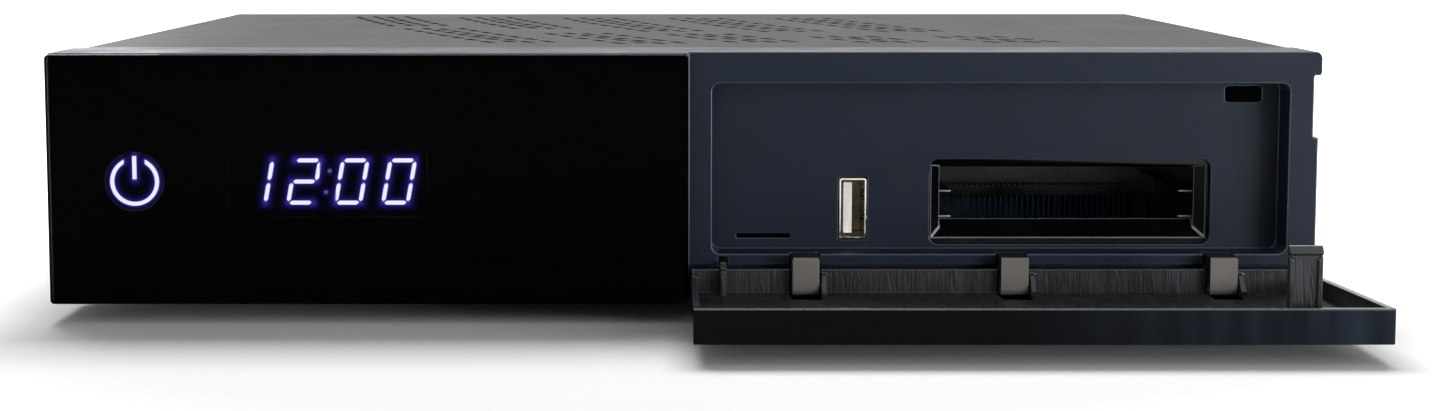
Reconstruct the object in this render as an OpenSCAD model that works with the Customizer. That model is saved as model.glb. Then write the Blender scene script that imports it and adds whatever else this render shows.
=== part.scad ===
// Satellite tv receiver with a folding front flap, shown with the flap open.
// Millimetres. Shapes are written in the case's own places: x from the middle to the right,
// y from the front face to the back, z up from the underside of the case.
// in_frame() then stands the whole on its feet with the origin under its middle.

/* [Case] */
// Width of the front
case_w = 270; // [262:1:320]
// Height of the front
fascia_h = 53.2; // [52:0.1:64]
// Depth from the front face to the outside of the rear panel
case_d = 211; // [205:1:260]
// Thickness of the base pan and rear panel
sheet = 1; // [0.8:0.1:1.4]
// Thickness of the top cover
cover_t = 0.8; // [0.6:0.1:1]
// Set-in of the top cover from each end of the front
cover_inset = 0.75; // [0.5:0.05:1.5]
// Drop of the top cover below the top of the front
cover_drop = 0.2; // [0.1:0.05:0.6]
// Bend radius of the top cover
cover_bend = 1.6; // [1.2:0.1:3]
// Height of the base pan's side walls
pan_side_h = 20; // [10:1:35]
// Height of the cover's rear lip
rear_lip_h = 8; // [6:0.5:12]

/* [Fascia] */
// Depth of the fascia moulding
fascia_d = 26; // [24:0.5:34]
// Wall of the fascia moulding
wall = 2; // [1.6:0.1:2.6]
// Set-in of the fascia's right end behind the flap
flank_inset = 0.8; // [0.5:0.1:1.5]
// Depth of the finger notch in the right end
finger_notch = 1.1; // [0.5:0.1:1.4]
// Height of the finger notch
finger_notch_h = 13.2; // [8:0.1:16]
// Space from the middle of the front to the socket recess
recess_left = 5.1; // [4:0.1:9]
// Space from the right end of the front to the socket recess
recess_right = 7.1; // [6:0.1:10]
// Height of the recess floor
recess_z = 10; // [9.8:0.1:11]
// Height of the bar above the recess
recess_top = 6.7; // [6.3:0.1:7]
// Depth of the recess behind its rim
recess_d = 8.2; // [7.6:0.1:9]
// Corner radius of the recess
recess_r = 1.8; // [1:0.1:3]
// Wall of the recess tub and thickness of the socket panel
tub_wall = 1.5; // [1.2:0.1:1.8]
// Height of the lower edge of the bar under the recess
bar_z = 7.6; // [7.4:0.1:8]

/* [Window and clock] */
// Thickness of the front window
window_t = 3; // [2:0.1:4]
// Gap between the window's edge and the outline of the front
window_gap = 0.2; // [0.1:0.05:0.4]
// Middle of the clock, in from the left end of the front
clock_in = 58.7; // [56:0.1:66]
// Height of the middle of the clock
clock_z = 26; // [22:0.1:30]
// Height of a digit between the middles of its top and bottom bars
digit_h = 9; // [6:0.1:11]
// Width of a digit between the middles of its side bars
digit_w = 5.2; // [3:0.1:6.5]
// Space from digit to digit
digit_pitch = 10.05; // [9:0.05:10.5]
// Width of a lit bar
segment_w = 0.82; // [0.4:0.02:1.2]
// Gap between lit bars
segment_gap = 0.3; // [0.1:0.05:0.6]
// Lean of the digits in degrees
digit_lean = 10.5; // [0:0.5:12]
// Diameter of a colon dot
colon_dot = 0.8; // [0.4:0.1:1.2]
// Middle of the standby light, in from the left end of the front
standby_in = 17.8; // [14:0.1:24]
// Outside diameter of the standby light's ring
standby_d = 10.3; // [6:0.1:11]
// Stroke of the standby light
standby_stroke = 0.8; // [0.4:0.1:1.4]

/* [Flap door] */
// Thickness of the flap's panel
door_t = 1.8; // [1.6:0.1:2]
// Thickness of the flap's rim at the sides and top
rim_t = 1.4; // [1:0.1:2]
// Height of the rim from the flap's outer face
door_d = 7; // [6.8:0.1:7.1]
// Height of the side rims at the hinge end
rim_low = 5.1; // [4:0.1:6.5]
// Gap between the flap and the window
door_gap = 0.5; // [0.3:0.1:1]
// Gap under the closed flap
door_lift = 0.3; // [0.2:0.05:0.5]
// Gap above the closed flap
door_top_gap = 0.4; // [0.2:0.1:1]
// Height of the open flap's outer face above the underside of the case
door_under = 0.1; // [0:0.05:0.2]
// Place of the open flap's hinge edge behind the front face
door_back = 6.1; // [6:0.05:6.2]
// Thickness of the flap's ribs
rib_t = 1.4; // [1:0.1:2]
// Place of the guide rib right of the middle of the front
guide_rib_x = 7.4; // [6.8:0.1:10]
// Height of the guide rib's top
guide_rib_top = 8.6; // [8:0.1:8.8]

/* [Hinge] */
// Width of a hinge claw
claw_w = 5.8; // [4:0.1:8]
// Middle of the first claw
claw_first = 24.9; // [20:0.1:30]
// Space from claw to claw
claw_pitch = 44.3; // [40:0.1:45]
// Radius of the hinge stub
pin_r = 0.8; // [0.7:0.05:0.9]
// Running clearance of the stub in its claw, on the radius
pin_clear = 0.08; // [0.04:0.01:0.1]
// Wall of the claw round the stub
claw_wall = 0.67; // [0.6:0.01:0.7]
// Clearance between the claws and the flap
claw_clear = 0.3; // [0.2:0.05:0.35]

/* [Latch] */
// Middle of the latch hook, in from the right end of the flap
hook_in = 15; // [14:0.1:18]
// Width of the latch hook
hook_w = 6.6; // [4:0.1:7]
// Height of the open hook's tip
hook_tip = 18; // [17:0.1:18.2]
// Thickness of the hook
hook_t = 1; // [0.8:0.1:1.2]
// Reach of the barb from the hook's face
hook_barb = 0.9; // [0.5:0.1:1]
// Width of the slot for the hook
latch_slot_w = 8; // [7.2:0.1:8.6]
// Height of the slot for the hook
latch_slot_h = 3.5; // [3.2:0.1:3.6]

/* [Front sockets] */
// Middle of the memory card slit
sd_x = 16.4; // [14:0.1:19]
// Width of the memory card slit
sd_w = 11.8; // [11.2:0.1:12.4]
// Height of the memory card slit
sd_h = 1; // [0.9:0.1:1.3]
// Middle of the upright usb socket
usb_x = 35.8; // [32:0.1:39]
// Long side of a usb shell
usb_long = 13.1; // [12.9:0.1:13.3]
// Short side of a usb shell
usb_short = 5.75; // [5.5:0.05:6]
// Thickness of a usb shell
usb_shell_t = 0.3; // [0.25:0.05:0.4]
// Gap round a socket in its hole
socket_gap = 0.3; // [0.2:0.05:0.5]

/* [Card slot] */
// Middle of the double card slot
card_x = 82.9; // [82:0.1:84]
// Width of the opening in the panel
card_open_w = 61; // [60:0.1:61.4]
// Height of the opening in the panel
card_open_h = 18.6; // [18.4:0.1:19]
// Height of the opening's lower edge
card_open_z = 10.9; // [10.9:0.1:11.2]
// Width of the space for a card
card_w = 55.6; // [54.6:0.1:56]
// Height of the space for a card
card_h = 5.2; // [5.1:0.05:5.3]
// Height of the lower card space's floor
card_floor = 16.4; // [16.2:0.1:16.6]
// Thickness of the ledges between the cards
card_ledge = 0.4; // [0.3:0.05:0.5]
// Reach of the ledges from the sides
card_ledge_w = 2.8; // [2:0.1:3.5]
// Depth of the card space behind the panel
card_depth = 46; // [40:1:50]
// Space from contact to contact
card_pin_pitch = 1.27; // [1.2:0.01:1.3]
// Contacts in a row
card_pins = 34; // [20:1:34]

/* [Boards] */
// Thickness of the circuit boards
pcb_t = 1.6; // [1.2:0.1:2]
// Height of the main board's standoffs
standoff_h = 7; // [6:0.1:7]
// Radius of the standoffs
standoff_r = 2.75; // [2.4:0.05:3]
// Radius of a screw's thread
screw_r = 1.4; // [1.2:0.05:1.5]
// Side of the processor
chip_w = 25; // [20:1:30]
// Side of the heat sink
sink_w = 40; // [34:1:46]
// Height of the heat sink
sink_h = 18; // [10:1:24]
// Fins on the heat sink
sink_fins = 9; // [6:1:11]

/* [Rear sockets] */
// Reach of the aerial connectors behind the rear panel
f_reach = 11; // [9:0.5:13]
// Radius of an aerial connector's thread
f_r = 4.75; // [4.7:0.01:4.8]
// Height of the aerial connectors above the main board
f_up = 9.4; // [9:0.1:12]
// Space between the two connectors of a tuner
f_pitch = 16; // [14:0.5:18]
// Radius of the hole in the audio-video jack
jack_r = 1.8; // [1.78:0.01:1.85]
// Side of the optical socket's shutter
shutter_w = 6.2; // [5.6:0.1:6.6]
// Thickness of the shutter
shutter_t = 0.8; // [0.6:0.1:1]
// Radius of the shutter's pivots
shutter_pin_r = 0.4; // [0.35:0.01:0.45]

/* [Power switch] */
// Width of the switch's flange
switch_w = 15; // [14:0.1:17]
// Height of the switch's flange
switch_h = 21; // [19:0.1:23]
// Radius of the rocker's rounded ends about its pivot
rocker_r = 8.1; // [7.4:0.1:8.3]
// Width of the rocker
rocker_w = 11.4; // [10:0.1:11.6]
// Tilt of the rocker at rest in degrees
rocker_tilt = 8; // [4:0.5:9]
// Radius of the rocker's pivots
rocker_pin_r = 1.2; // [1:0.05:1.4]

/* [Cover vents] */
// Slots across a band
vent_columns = 4; // [2:1:5]
// Space from slot to slot across a band
vent_across = 4.6; // [3.6:0.1:5]
// Space from slot to slot along a band
vent_along = 10.4; // [9:0.1:14]
// Width of a slot
vent_slot_w = 2.1; // [1.2:0.1:2.6]
// Length of a slot
vent_slot_l = 7.2; // [4:0.1:7.8]
// Space from band to band
vent_band_pitch = 30.3; // [26:0.1:32]
// Middle of the first band at its rear end, left of the middle of the cover
vent_left = 88; // [80:0.5:92]
// Side step of a band for each millimetre towards the front, at its rear end
vent_lean = 0.25; // [0.1:0.01:0.3]
// Growth of that step along the band
vent_curve = 0.0007; // [0:0.0001:0.0009]

/* [Feet] */
// Height of the rubber feet
foot_h = 4; // [3:0.1:8]
// Radius of the rubber feet
foot_r = 9; // [7:0.1:11]
// Place of the feet in from the ends of the case
foot_in = 23; // [18:1:30]

/* [Hidden] */
$fn = 32;

// a hair of overlap, so that cuts and joined solids meet cleanly
eps = 0.01;
half_w = case_w / 2;
back_y = case_d;

// flap and hinge: turning the open flap a quarter turn about this line shuts it
door_h = fascia_h - door_lift - door_top_gap;
door_front = door_back - door_h;
hinge_z = (door_back + door_lift + door_under) / 2;
hinge_y = hinge_z - door_under;
door_top = door_under + door_d;
door_floor = door_under + door_t;
door_x = [door_gap, half_w];
hook_x = half_w - hook_in;
hinge_wall = 1.8;
hinge_wall_y = door_back - hinge_wall;
knuckle_r = pin_r + pin_clear + claw_wall;
pocket_floor = hinge_z - knuckle_r - claw_clear;
pocket_wall = hinge_y + knuckle_r + claw_clear - 0.1;
claw_front = hinge_y - knuckle_r;
claw_x = [for (i = [0:2]) claw_first + i * claw_pitch];
sweep_r = norm([door_back - hinge_y, door_top - hinge_z]);

// fascia
bezel_y = door_d;
flank_x = half_w - flank_inset;
recess_x = [recess_left, half_w - recess_right];
recess_zz = [recess_z, fascia_h - recess_top];
panel_y = bezel_y + recess_d;
panel_back = panel_y + tub_wall;
guide_sweep = hinge_y + norm([door_back - hinge_y, guide_rib_top - hinge_z]);
apron_y = max(hinge_y + sweep_r + 1.5, guide_sweep + 0.5);
apron_t = 1.6;
tab_x = [-100, 0, 100];
tab_l = 9;
tab_in = 4.5;

// metal case
cover_x = half_w - cover_inset;
cover_top = fascia_h - cover_drop;
pan_x = cover_x - cover_t - 0.35;
pan_y = [fascia_d + 0.2, back_y - sheet];
lip_z = cover_top - rear_lip_h;
tall_y = back_y + cover_t;

// boards
board_z = sheet + standoff_h;
board_top = board_z + pcb_t;
board_half = pan_x - 5;
board_y = [92, back_y - 6];
card_sides = around(card_x, card_w);
tongue_x = [card_sides[0] - 7.6, card_sides[1] + 8.8];
tongue_y = 22;
standoff_y = [board_y[0] + 8, board_y[1] - 10];
edge_in = 3.3;
standoff_at = [[edge_in - board_half, standoff_y[0]], [edge_in - board_half, standoff_y[1]],
    [-10, standoff_y[0]], [29.8, standoff_y[1]],
    [board_half - edge_in, standoff_y[0]], [board_half - edge_in, standoff_y[1]],
    [tongue_x[0] + 2.8, fascia_d + 4], [tongue_x[1] - 2.8, fascia_d + 4]];
head_r = 2.5;
head_h = 1.6;

// front sockets stand on their own small board
usb_z = [card_open_z + 1.35, card_open_z + 1.35 + usb_long];
socket_top = usb_z[0] - 0.25;
socket_z = socket_top - pcb_t;
socket_x = [6, tongue_x[0] - 1.5];
socket_y = [panel_back + 1.3, 50];
socket_posts = [for (x = grown(socket_x, -4)) [x, socket_y[1] - 6]];
slit_z = socket_top + 0.3;

// clock
clock_x = clock_in - half_w;
standby_x = standby_in - half_w;
module_y = window_t + 0.6;
display_y = 9;
display_x = [8 - half_w, clock_x + 42.3];
display_z = [12, 41];
display_boss = [for (x = [display_x[0] + 4.5, display_x[1] - 4], z = grown(display_z, -3.75)) [x, z]];
infrared_x = clock_x + 32.3;

// card slot
card_wall = 1.4;
card_level = card_h + card_ledge;
card_top = card_floor + 2 * card_level;
card_front = panel_back + 0.2;
card_mouth = card_front + 5;
card_end = panel_y + card_depth;
header_l = 8;

// rear sockets, by their middles from left to right seen from the front
tuner_x = [-0.763 * half_w, -0.467 * half_w];
hdmi_x = -half_w * 2 / 9;
network_x = -half_w * 2 / 45;
usb_rear_x = half_w * 2 / 15;
optical_x = half_w * 8 / 27;
jack_x = 0.43 * half_w;
inlet_x = half_w * 16 / 27;
switch_x = 0.8 * half_w;
switch_z = 24;
rocker_y = back_y - 1;
f_z = board_top + f_up;

// the frame: the open flap reaches furthest forward, the aerial connectors furthest back
front_y = -(door_front + back_y + f_reach) / 2;

module in_frame() {
    translate([0, front_y, foot_h]) children();
}

// block between two places on each axis
module block(x, y, z) {
    translate([x[0], y[0], z[0]]) cube([x[1] - x[0], y[1] - y[0], z[1] - z[0]]);
}

// outline in y and z, carried from one x to another
module along_x(x) {
    translate([x[0], 0, 0]) rotate([90, 0, 90]) linear_extrude(x[1] - x[0]) children();
}

// outline in x and z, carried from one y to another
module along_y(y) {
    translate([0, y[1], 0]) rotate([90, 0, 0]) linear_extrude(y[1] - y[0]) children();
}

// outline in x and y, carried from one z to another
module along_z(z) {
    translate([0, 0, z[0]]) linear_extrude(z[1] - z[0]) children();
}

// rod along x, y
module rod_x(x, y, z, r) {
    translate([x[0], y, z]) rotate([0, 90, 0]) cylinder(h = x[1] - x[0], r = r);
}
module rod_y(y, x, z, r) {
    translate([x, y[0], z]) rotate([-90, 0, 0]) cylinder(h = y[1] - y[0], r = r);
}

// rectangle with round corners
module round_rect(x, z, r) {
    translate([x[0] + r, z[0]]) square([x[1] - x[0] - 2 * r, z[1] - z[0]]);
    translate([x[0], z[0] + r]) square([x[1] - x[0], z[1] - z[0] - 2 * r]);
    for (cx = [x[0] + r, x[1] - r], cz = [z[0] + r, z[1] - r]) translate([cx, cz]) circle(r);
}

function around(middle, size) = [middle - size / 2, middle + size / 2];
function grown(span, by) = [span[0] - by, span[1] + by];

// ---- metal case ----

module base_pan() {
    color("silver") in_frame() difference() {
        union() {
            block([-pan_x, pan_x], pan_y, [0, sheet]);
            for (side = [-1, 1]) block(side > 0 ? [pan_x - sheet, pan_x] : [-pan_x, sheet - pan_x],
                pan_y, [0, pan_side_h]);
        }
        for (x = tab_x) translate([x, fascia_d + tab_in, -1]) cylinder(h = sheet + 2, r = screw_r + 0.2);
        for (group = [-60, 60], i = [-5:5]) translate([group + i * 6, 150, sheet / 2])
            cube([2.6, 34, 2 * sheet], center = true);
    }
}

module rear_panel() {
    color("dimgray") in_frame() difference() {
        union() {
            block([-pan_x, pan_x], [back_y - sheet, back_y], [0, cover_top - cover_t - 0.3]);
            block([-pan_x + 2, pan_x - 2], [back_y - 11, back_y - sheet], [sheet, 2 * sheet]);
        }
        for (x = tuner_x, side = [-1, 1])
            rod_y([back_y - 3, back_y + 1], x + side * f_pitch / 2, f_z, f_r + socket_gap);
        rear_hole(hdmi_x, hdmi_w, [board_top, board_top + hdmi_h]);
        rear_hole(network_x, network_w, [board_top, board_top + network_h]);
        rear_hole(usb_rear_x, usb_long, [board_top, board_top + usb_rear_h]);
        rear_hole(optical_x, optical_w, [board_top, board_top + optical_w]);
        rod_y([back_y - 3, back_y + 1], jack_x, jack_z, jack_out_r + socket_gap);
        rear_hole(inlet_x, inlet_w, [board_top, board_top + inlet_h]);
        rear_hole(switch_x, switch_w - 2, around(switch_z, switch_h - 2));
        for (x = screw_rear) rod_y([back_y - 3, back_y + 1], x, lip_z + rear_lip_h / 2, screw_r);
        for (x = rear_vent_x, i = [0:4]) block(around(x, rear_vent_w), [back_y - 3, back_y + 1],
            around(rear_vent_z + i * 2 * rear_vent_slot, rear_vent_slot));
    }
}

// cut for a socket through the rear panel
module rear_hole(x, w, z) {
    block(grown(around(x, w), socket_gap), [back_y - 3, back_y + 1], grown(z, socket_gap));
}

screw_rear = [-half_w * 2 / 3, 0, half_w * 2 / 3];
rear_vent_x = [-24, 6, 36];
rear_vent_w = 24;
rear_vent_z = lip_z - 13;
rear_vent_slot = 1.3;
hdmi_w = 15;
hdmi_h = 6;
network_w = 16;
network_h = 13.4;
usb_rear_h = 15.6;
optical_w = 9.8;
jack_out_r = 4;
jack_z = board_top + 5;
inlet_w = 9;
inlet_h = 11;

module cover_outline(inset, low) {
    r = cover_bend - inset;
    x = cover_x - inset;
    top = cover_top - inset;
    translate([-x, low]) square([2 * x, top - r - low]);
    translate([-x + r, low]) square([2 * (x - r), top - low]);
    for (side = [-1, 1]) translate([side * (x - r), top - r]) circle(r);
}

// one slot, its long sides leaning with its band
module vent_slot(x, y, lean) {
    w = vent_slot_w / 2;
    l = vent_slot_l / 2;
    polygon([for (p = [[-w, -l], [w, -l], [w, l], [-w, l]]) [x + p[0] - lean * p[1], y + p[1]]]);
}

// each band runs forward and to the right, with one break on its way
vent_rear = [192, 187.5, 183, 182, 182];
vent_break = [122, 105, 94, 88, 89];
vent_front = 41;
vent_break_w = 7;

module vent_band(b) {
    rear = vent_rear[b];
    rows = floor((rear - vent_front) / vent_along);
    for (row = [0:rows - 1]) {
        run = (row + 0.5) * vent_along;
        y = rear - run;
        lean = vent_lean + 2 * vent_curve * run;
        middle = b * vent_band_pitch - vent_left + vent_lean * run + vent_curve * run * run;
        if (abs(y - vent_break[b]) > vent_break_w)
            for (column = [0:vent_columns - 1])
                vent_slot(middle + (column - (vent_columns - 1) / 2) * vent_across,
                    y + (column % 2) * vent_along / 4, lean);
    }
}

module top_cover() {
    color([0.16, 0.16, 0.17]) in_frame() difference() {
        union() {
            along_y([fascia_d + 0.3, tall_y]) difference() {
                cover_outline(0, 1.2);
                cover_outline(cover_t, 0);
            }
            block([-cover_x + cover_bend, cover_x - cover_bend], [back_y, tall_y],
                [lip_z, cover_top - cover_t + eps]);
        }
        along_z([cover_top - 2 * cover_t, cover_top + 1]) for (b = [0:4]) vent_band(b);
        for (x = screw_rear) rod_y([back_y - 1, tall_y + 1], x, lip_z + rear_lip_h / 2, screw_r + 0.2);
    }
}

// ---- fascia ----

module fascia_right_outline() {
    lip = 4.8;
    polygon([[-wall, 0], [flank_x, 0], [flank_x, fascia_h - lip - 0.9],
        [flank_x + 0.45, fascia_h - lip + 0.6], [flank_x + 0.45, fascia_h - 1.2],
        [flank_x + 0.1, fascia_h - 0.35], [flank_x - 0.4, fascia_h], [-wall, fascia_h]]);
}

module fascia() {
    color([0.14, 0.16, 0.2]) in_frame() difference() {
        union() {
            fascia_left();
            fascia_right();
            for (x = tab_x) fascia_tab(x);
            block([-cover_x + 3, cover_x - 3], [fascia_d - 4, fascia_d + 3],
                [fascia_h - wall - 0.6, cover_top - cover_t - 0.2]);
        }
        socket_recess();
        panel_openings();
        claw_notches();
        for (x = tab_x) translate([x, fascia_d + tab_in, 0]) cylinder(h = 2 * wall, r = screw_r - 0.2);
        flank = flank_x - finger_notch;
        block([flank, half_w + 1], [bezel_y - 1, bezel_y + 8],
            [fascia_h - 5 - finger_notch_h, fascia_h - 5]);
    }
}

module fascia_left() {
    difference() {
        union() {
            difference() {
                block([-half_w, 0], [window_t, fascia_d], [0, fascia_h]);
                block([wall - half_w, -wall], [window_t + wall, fascia_d + 1],
                    [wall, fascia_h - wall]);
            }
            for (at = display_boss) rod_y([window_t + 1, display_y], at[0], at[1], 2.6);
        }
        for (at = display_boss) rod_y([window_t + 2.4, display_y + 1], at[0], at[1], screw_r - 0.4);
        block(around(clock_x, module_w + 1), [window_t - 1, window_t + wall + 1],
            around(clock_z, module_h + 1));
        rod_y([window_t - 1, window_t + wall + 1], standby_x, clock_z, standby_d / 2 + 1);
        rod_y([window_t - 1, window_t + wall + 1], infrared_x, clock_z, 3);
    }
}

module fascia_right() {
    tub = grown(recess_x, tub_wall);
    difference() {
        along_y([bezel_y, fascia_d]) fascia_right_outline();
        block([0, half_w + 1], [bezel_y - 1, apron_y], [-1, bar_z]);
        block([0, flank_x - wall], [bezel_y + wall, fascia_d + 1],
            [recess_z - tub_wall, fascia_h - wall]);
        block([0, flank_x - wall], [apron_y + apron_t, fascia_d + 1], [wall, recess_z]);
    }
    block(tub, [bezel_y, panel_back], grown(recess_zz, tub_wall));
    block([-wall, flank_x - wall + eps], [bezel_y, apron_y + apron_t], [bar_z, recess_z]);
}

module fascia_tab(x) {
    block(around(x, 12), [fascia_d - 2, fascia_d + tab_l], [sheet, sheet + 2]);
}

module socket_recess() {
    along_y([bezel_y - 1, panel_y]) round_rect(recess_x, recess_zz, recess_r);
}

latch_z = [recess_zz[1] - 1.1 - latch_slot_h, recess_zz[1] - 1.1];

module panel_openings() {
    cut = [panel_y - 1, panel_back + 1];
    block(around(sd_x, sd_w), cut, [slit_z, slit_z + sd_h]);
    block(grown(around(usb_x, usb_short), socket_gap), cut, grown(usb_z, socket_gap));
    along_y(cut) round_rect(around(card_x, card_open_w), [card_open_z, card_open_z + card_open_h], 2);
    along_y(cut) round_rect(around(hook_x, latch_slot_w), latch_z, 0.9);
}

// the claws and the guide rib come through the bar under the recess
module claw_notches() {
    for (x = claw_x) block(grown(around(x, claw_w), claw_clear),
        [bezel_y - 1, apron_y], [bar_z - 1, recess_z + eps]);
    block(grown(around(guide_rib_x, rib_t), claw_clear), [bezel_y - 1, apron_y],
        [bar_z - 1, guide_rib_top + 0.8]);
}

module front_window() {
    color([0.02, 0.02, 0.025]) in_frame() along_y([0, window_t])
        round_rect([-half_w, 0], [window_gap, fascia_h - window_gap], 0.9);
}

// ---- clock, standby light and their board ----

module_w = 41;
module_h = 14;

module display_board() {
    color([0.05, 0.25, 0.12]) in_frame() difference() {
        block(display_x, [display_y, display_y + pcb_t], display_z);
        for (at = display_boss) rod_y([display_y - 1, display_y + 3], at[0], at[1], screw_r);
    }
}

module display_module() {
    color([0.06, 0.06, 0.07]) in_frame()
        block(around(clock_x, module_w), [module_y, display_y], around(clock_z, module_h));
}

// corners of a six-cornered bar of length l, flat or upright
function bar_corners(l, upright) = let (w = segment_w / 2)
    [for (p = [[-l / 2, 0], [w - l / 2, -w], [l / 2 - w, -w], [l / 2, 0], [l / 2 - w, w], [w - l / 2, w]])
        upright ? [-p[1], p[0]] : p];

// a point of the upright clock, leaned to the right with its height
function leaned(p) = [clock_x + p[0] + tan(digit_lean) * p[1], clock_z + p[1]];

// bars of one digit, in the order top, two right, bottom, two left, middle
module digit(x, lit) {
    flat = digit_w - 2 * segment_gap;
    tall = digit_h / 2 - 2 * segment_gap;
    places = [[0, digit_h / 2, false], [digit_w / 2, digit_h / 4, true],
        [digit_w / 2, -digit_h / 4, true], [0, -digit_h / 2, false],
        [-digit_w / 2, -digit_h / 4, true], [-digit_w / 2, digit_h / 4, true], [0, 0, false]];
    for (i = lit) polygon([for (p = bar_corners(places[i][2] ? tall : flat, places[i][2]))
        leaned([x + places[i][0] + p[0], places[i][1] + p[1]])]);
}

DIGITS = [[1, 2], [0, 1, 3, 4, 6], [0, 1, 2, 3, 4, 5], [0, 1, 2, 3, 4, 5]];

module display_segments() {
    color([0.8, 0.85, 1]) in_frame() along_y([window_t + 0.2, module_y]) {
        for (i = [0:3]) digit((i - 1.5) * digit_pitch, DIGITS[i]);
        for (side = [-1, 1]) translate(leaned([0, side * digit_h / 4])) circle(d = colon_dot, $fn = 16);
    }
}

// plain standby mark: a ring open at the top, with a bar in the gap
module standby_light() {
    r = standby_d / 2;
    color([0.8, 0.85, 1]) in_frame() {
        along_y([window_t + 0.2, window_t + 0.6]) translate([standby_x, clock_z]) {
            difference() {
                circle(r);
                circle(r - standby_stroke);
                translate([-0.22 * standby_d, 0]) square([0.44 * standby_d, r + 1]);
            }
            translate([-standby_stroke / 2, 0.1 * r]) square([standby_stroke, 0.95 * r]);
        }
        rod_y([window_t + 0.6, display_y], standby_x, clock_z, r + 0.6);
    }
}

module infrared_receiver() {
    color([0.1, 0.05, 0.08]) in_frame() {
        block(around(infrared_x, 5), [window_t + wall + 0.6, display_y], around(clock_z, 7));
        rod_y([window_t + 1, window_t + wall + 0.6], infrared_x, clock_z, 2);
    }
}

// ---- flap door ----

module flap_door() {
    color([0.03, 0.03, 0.035]) in_frame() difference() {
        union() {
            block(door_x, [door_front, door_back], [door_under, door_floor]);
            block(door_x, [door_front, door_front + rim_t], [door_under, door_top]);
            block(door_x, [hinge_wall_y, door_back], [door_under, door_top]);
            side_rim([door_x[0], door_x[0] + rim_t]);
            side_rim([door_x[1] - rim_t, door_x[1]]);
            for (x = claw_x) hinge_rib(x + claw_w / 2 + claw_clear);
            block(around(guide_rib_x, rib_t), [hinge_wall_y - 3, door_back],
                [door_floor - eps, door_top]);
            block(around(guide_rib_x, rib_t), [hinge_wall_y, door_back], [door_top - eps, guide_rib_top]);
            latch_hook();
        }
        for (x = claw_x) block([x - claw_w / 2 - claw_clear, x + claw_w / 2 + claw_clear],
            [hinge_y - (recess_z - hinge_z) - 2 * claw_clear, pocket_wall],
            [pocket_floor, door_top + 1]);
    }
    color([0.03, 0.03, 0.035]) in_frame() for (x = claw_x)
        rod_x([x - claw_w / 2 + 0.4, x + claw_w / 2 + claw_clear + eps], hinge_y, hinge_z, pin_r);
}

module side_rim(x) {
    along_x(x) polygon([[door_front, door_under], [door_back, door_under],
        [door_back, door_under + rim_low], [door_front, door_top]]);
}

// three-cornered rib that carries a hinge stub
module hinge_rib(x) {
    along_x([x, x + rib_t]) polygon([[hinge_wall_y - 6.6, door_floor - eps],
        [hinge_wall_y + eps, door_floor - eps], [hinge_wall_y + eps, door_top - 1],
        [hinge_wall_y - 1.2, door_top - 1], [hinge_wall_y - 4.6, door_floor + 1.2]]);
}

// hook: a post with two flanges, and a barb at its tip that points forward when open.
// Its barb's arc about the hinge clears the upper edge of the recess.
hook_top_r = norm([bezel_y - hinge_y, recess_zz[1] - 0.3 - hinge_z]);
barb_z = hook_tip - 1.6;
barb_y = hinge_y - sqrt(pow(hook_top_r, 2) - pow(barb_z - hinge_z, 2));

module latch_hook() {
    face = barb_y + hook_barb;
    x = around(hook_x, hook_w);
    along_x(x) polygon([[face, door_floor - eps], [face + hook_t, door_floor - eps],
        [face + hook_t, hook_tip - 0.2], [face + hook_t - 0.3, hook_tip], [face + 0.2, hook_tip],
        [barb_y, barb_z + 0.3], [barb_y, barb_z], [face, barb_z - 0.3]]);
    for (edge = [[x[0], x[0] + 1], [x[1] - 1, x[1]]]) along_x(edge) polygon([
        [face - 0.5, door_floor - eps], [face + 3, door_floor - eps], [face + 0.5, barb_z - 3],
        [face + 0.5, barb_z - 0.5], [face, barb_z - 0.5], [face - 0.5, barb_z - 1.2]]);
}

// ---- hinge claws and latch clip, fixed to the fascia ----

// arm over the flap's rim, finger down in front of it to the hinge stub, foot against the apron
module hinge_claw(i) {
    x = around(claw_x[i], claw_w);
    under = door_top + claw_clear - 0.05;
    color([0.37, 0.35, 0.33]) in_frame() difference() {
        union() {
            block(x, [claw_front, apron_y], [under, recess_z]);
            block(x, [claw_front, hinge_y + 0.9], [hinge_z, recess_z - eps]);
            rod_x(x, hinge_y, hinge_z, knuckle_r);
            block(x, [hinge_y + sweep_r + 0.5, apron_y], [wall, recess_z - eps]);
        }
        rod_x(grown(x, 1), hinge_y, hinge_z, pin_r + pin_clear);
    }
}

module hinge_claw_left() {
    hinge_claw(0);
}

module hinge_claw_middle() {
    hinge_claw(1);
}

module hinge_claw_right() {
    hinge_claw(2);
}

// spring strip behind the latch slot, screwed flat to the panel's back above it
module latch_clip() {
    t = 0.4;
    low = latch_z[1] + 0.2;
    color("silver") in_frame() along_x(around(hook_x, hook_w)) polygon([
        [panel_back, low], [panel_back + t, low], [panel_back + t, latch_z[1] + 5],
        [panel_back + t + 2.6, latch_z[1] + 5], [panel_back + 3, low],
        [panel_back + 1.9, low - 0.35], [panel_back + 2.2, low - 0.6],
        [panel_back + 3.4, low - 0.2], [panel_back + 3.4, latch_z[1] + 5 + t], [panel_back, latch_z[1] + 5 + t]]);
}

// ---- front sockets ----

module socket_board() {
    color([0.05, 0.25, 0.12]) in_frame() difference() {
        block(socket_x, socket_y, [socket_z, socket_top]);
        for (at = socket_posts) translate([at[0], at[1], socket_z - 1]) cylinder(h = 4, r = screw_r + 0.2);
    }
}

usb_front_y = [panel_y - 0.3, panel_y + 13.7];

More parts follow.
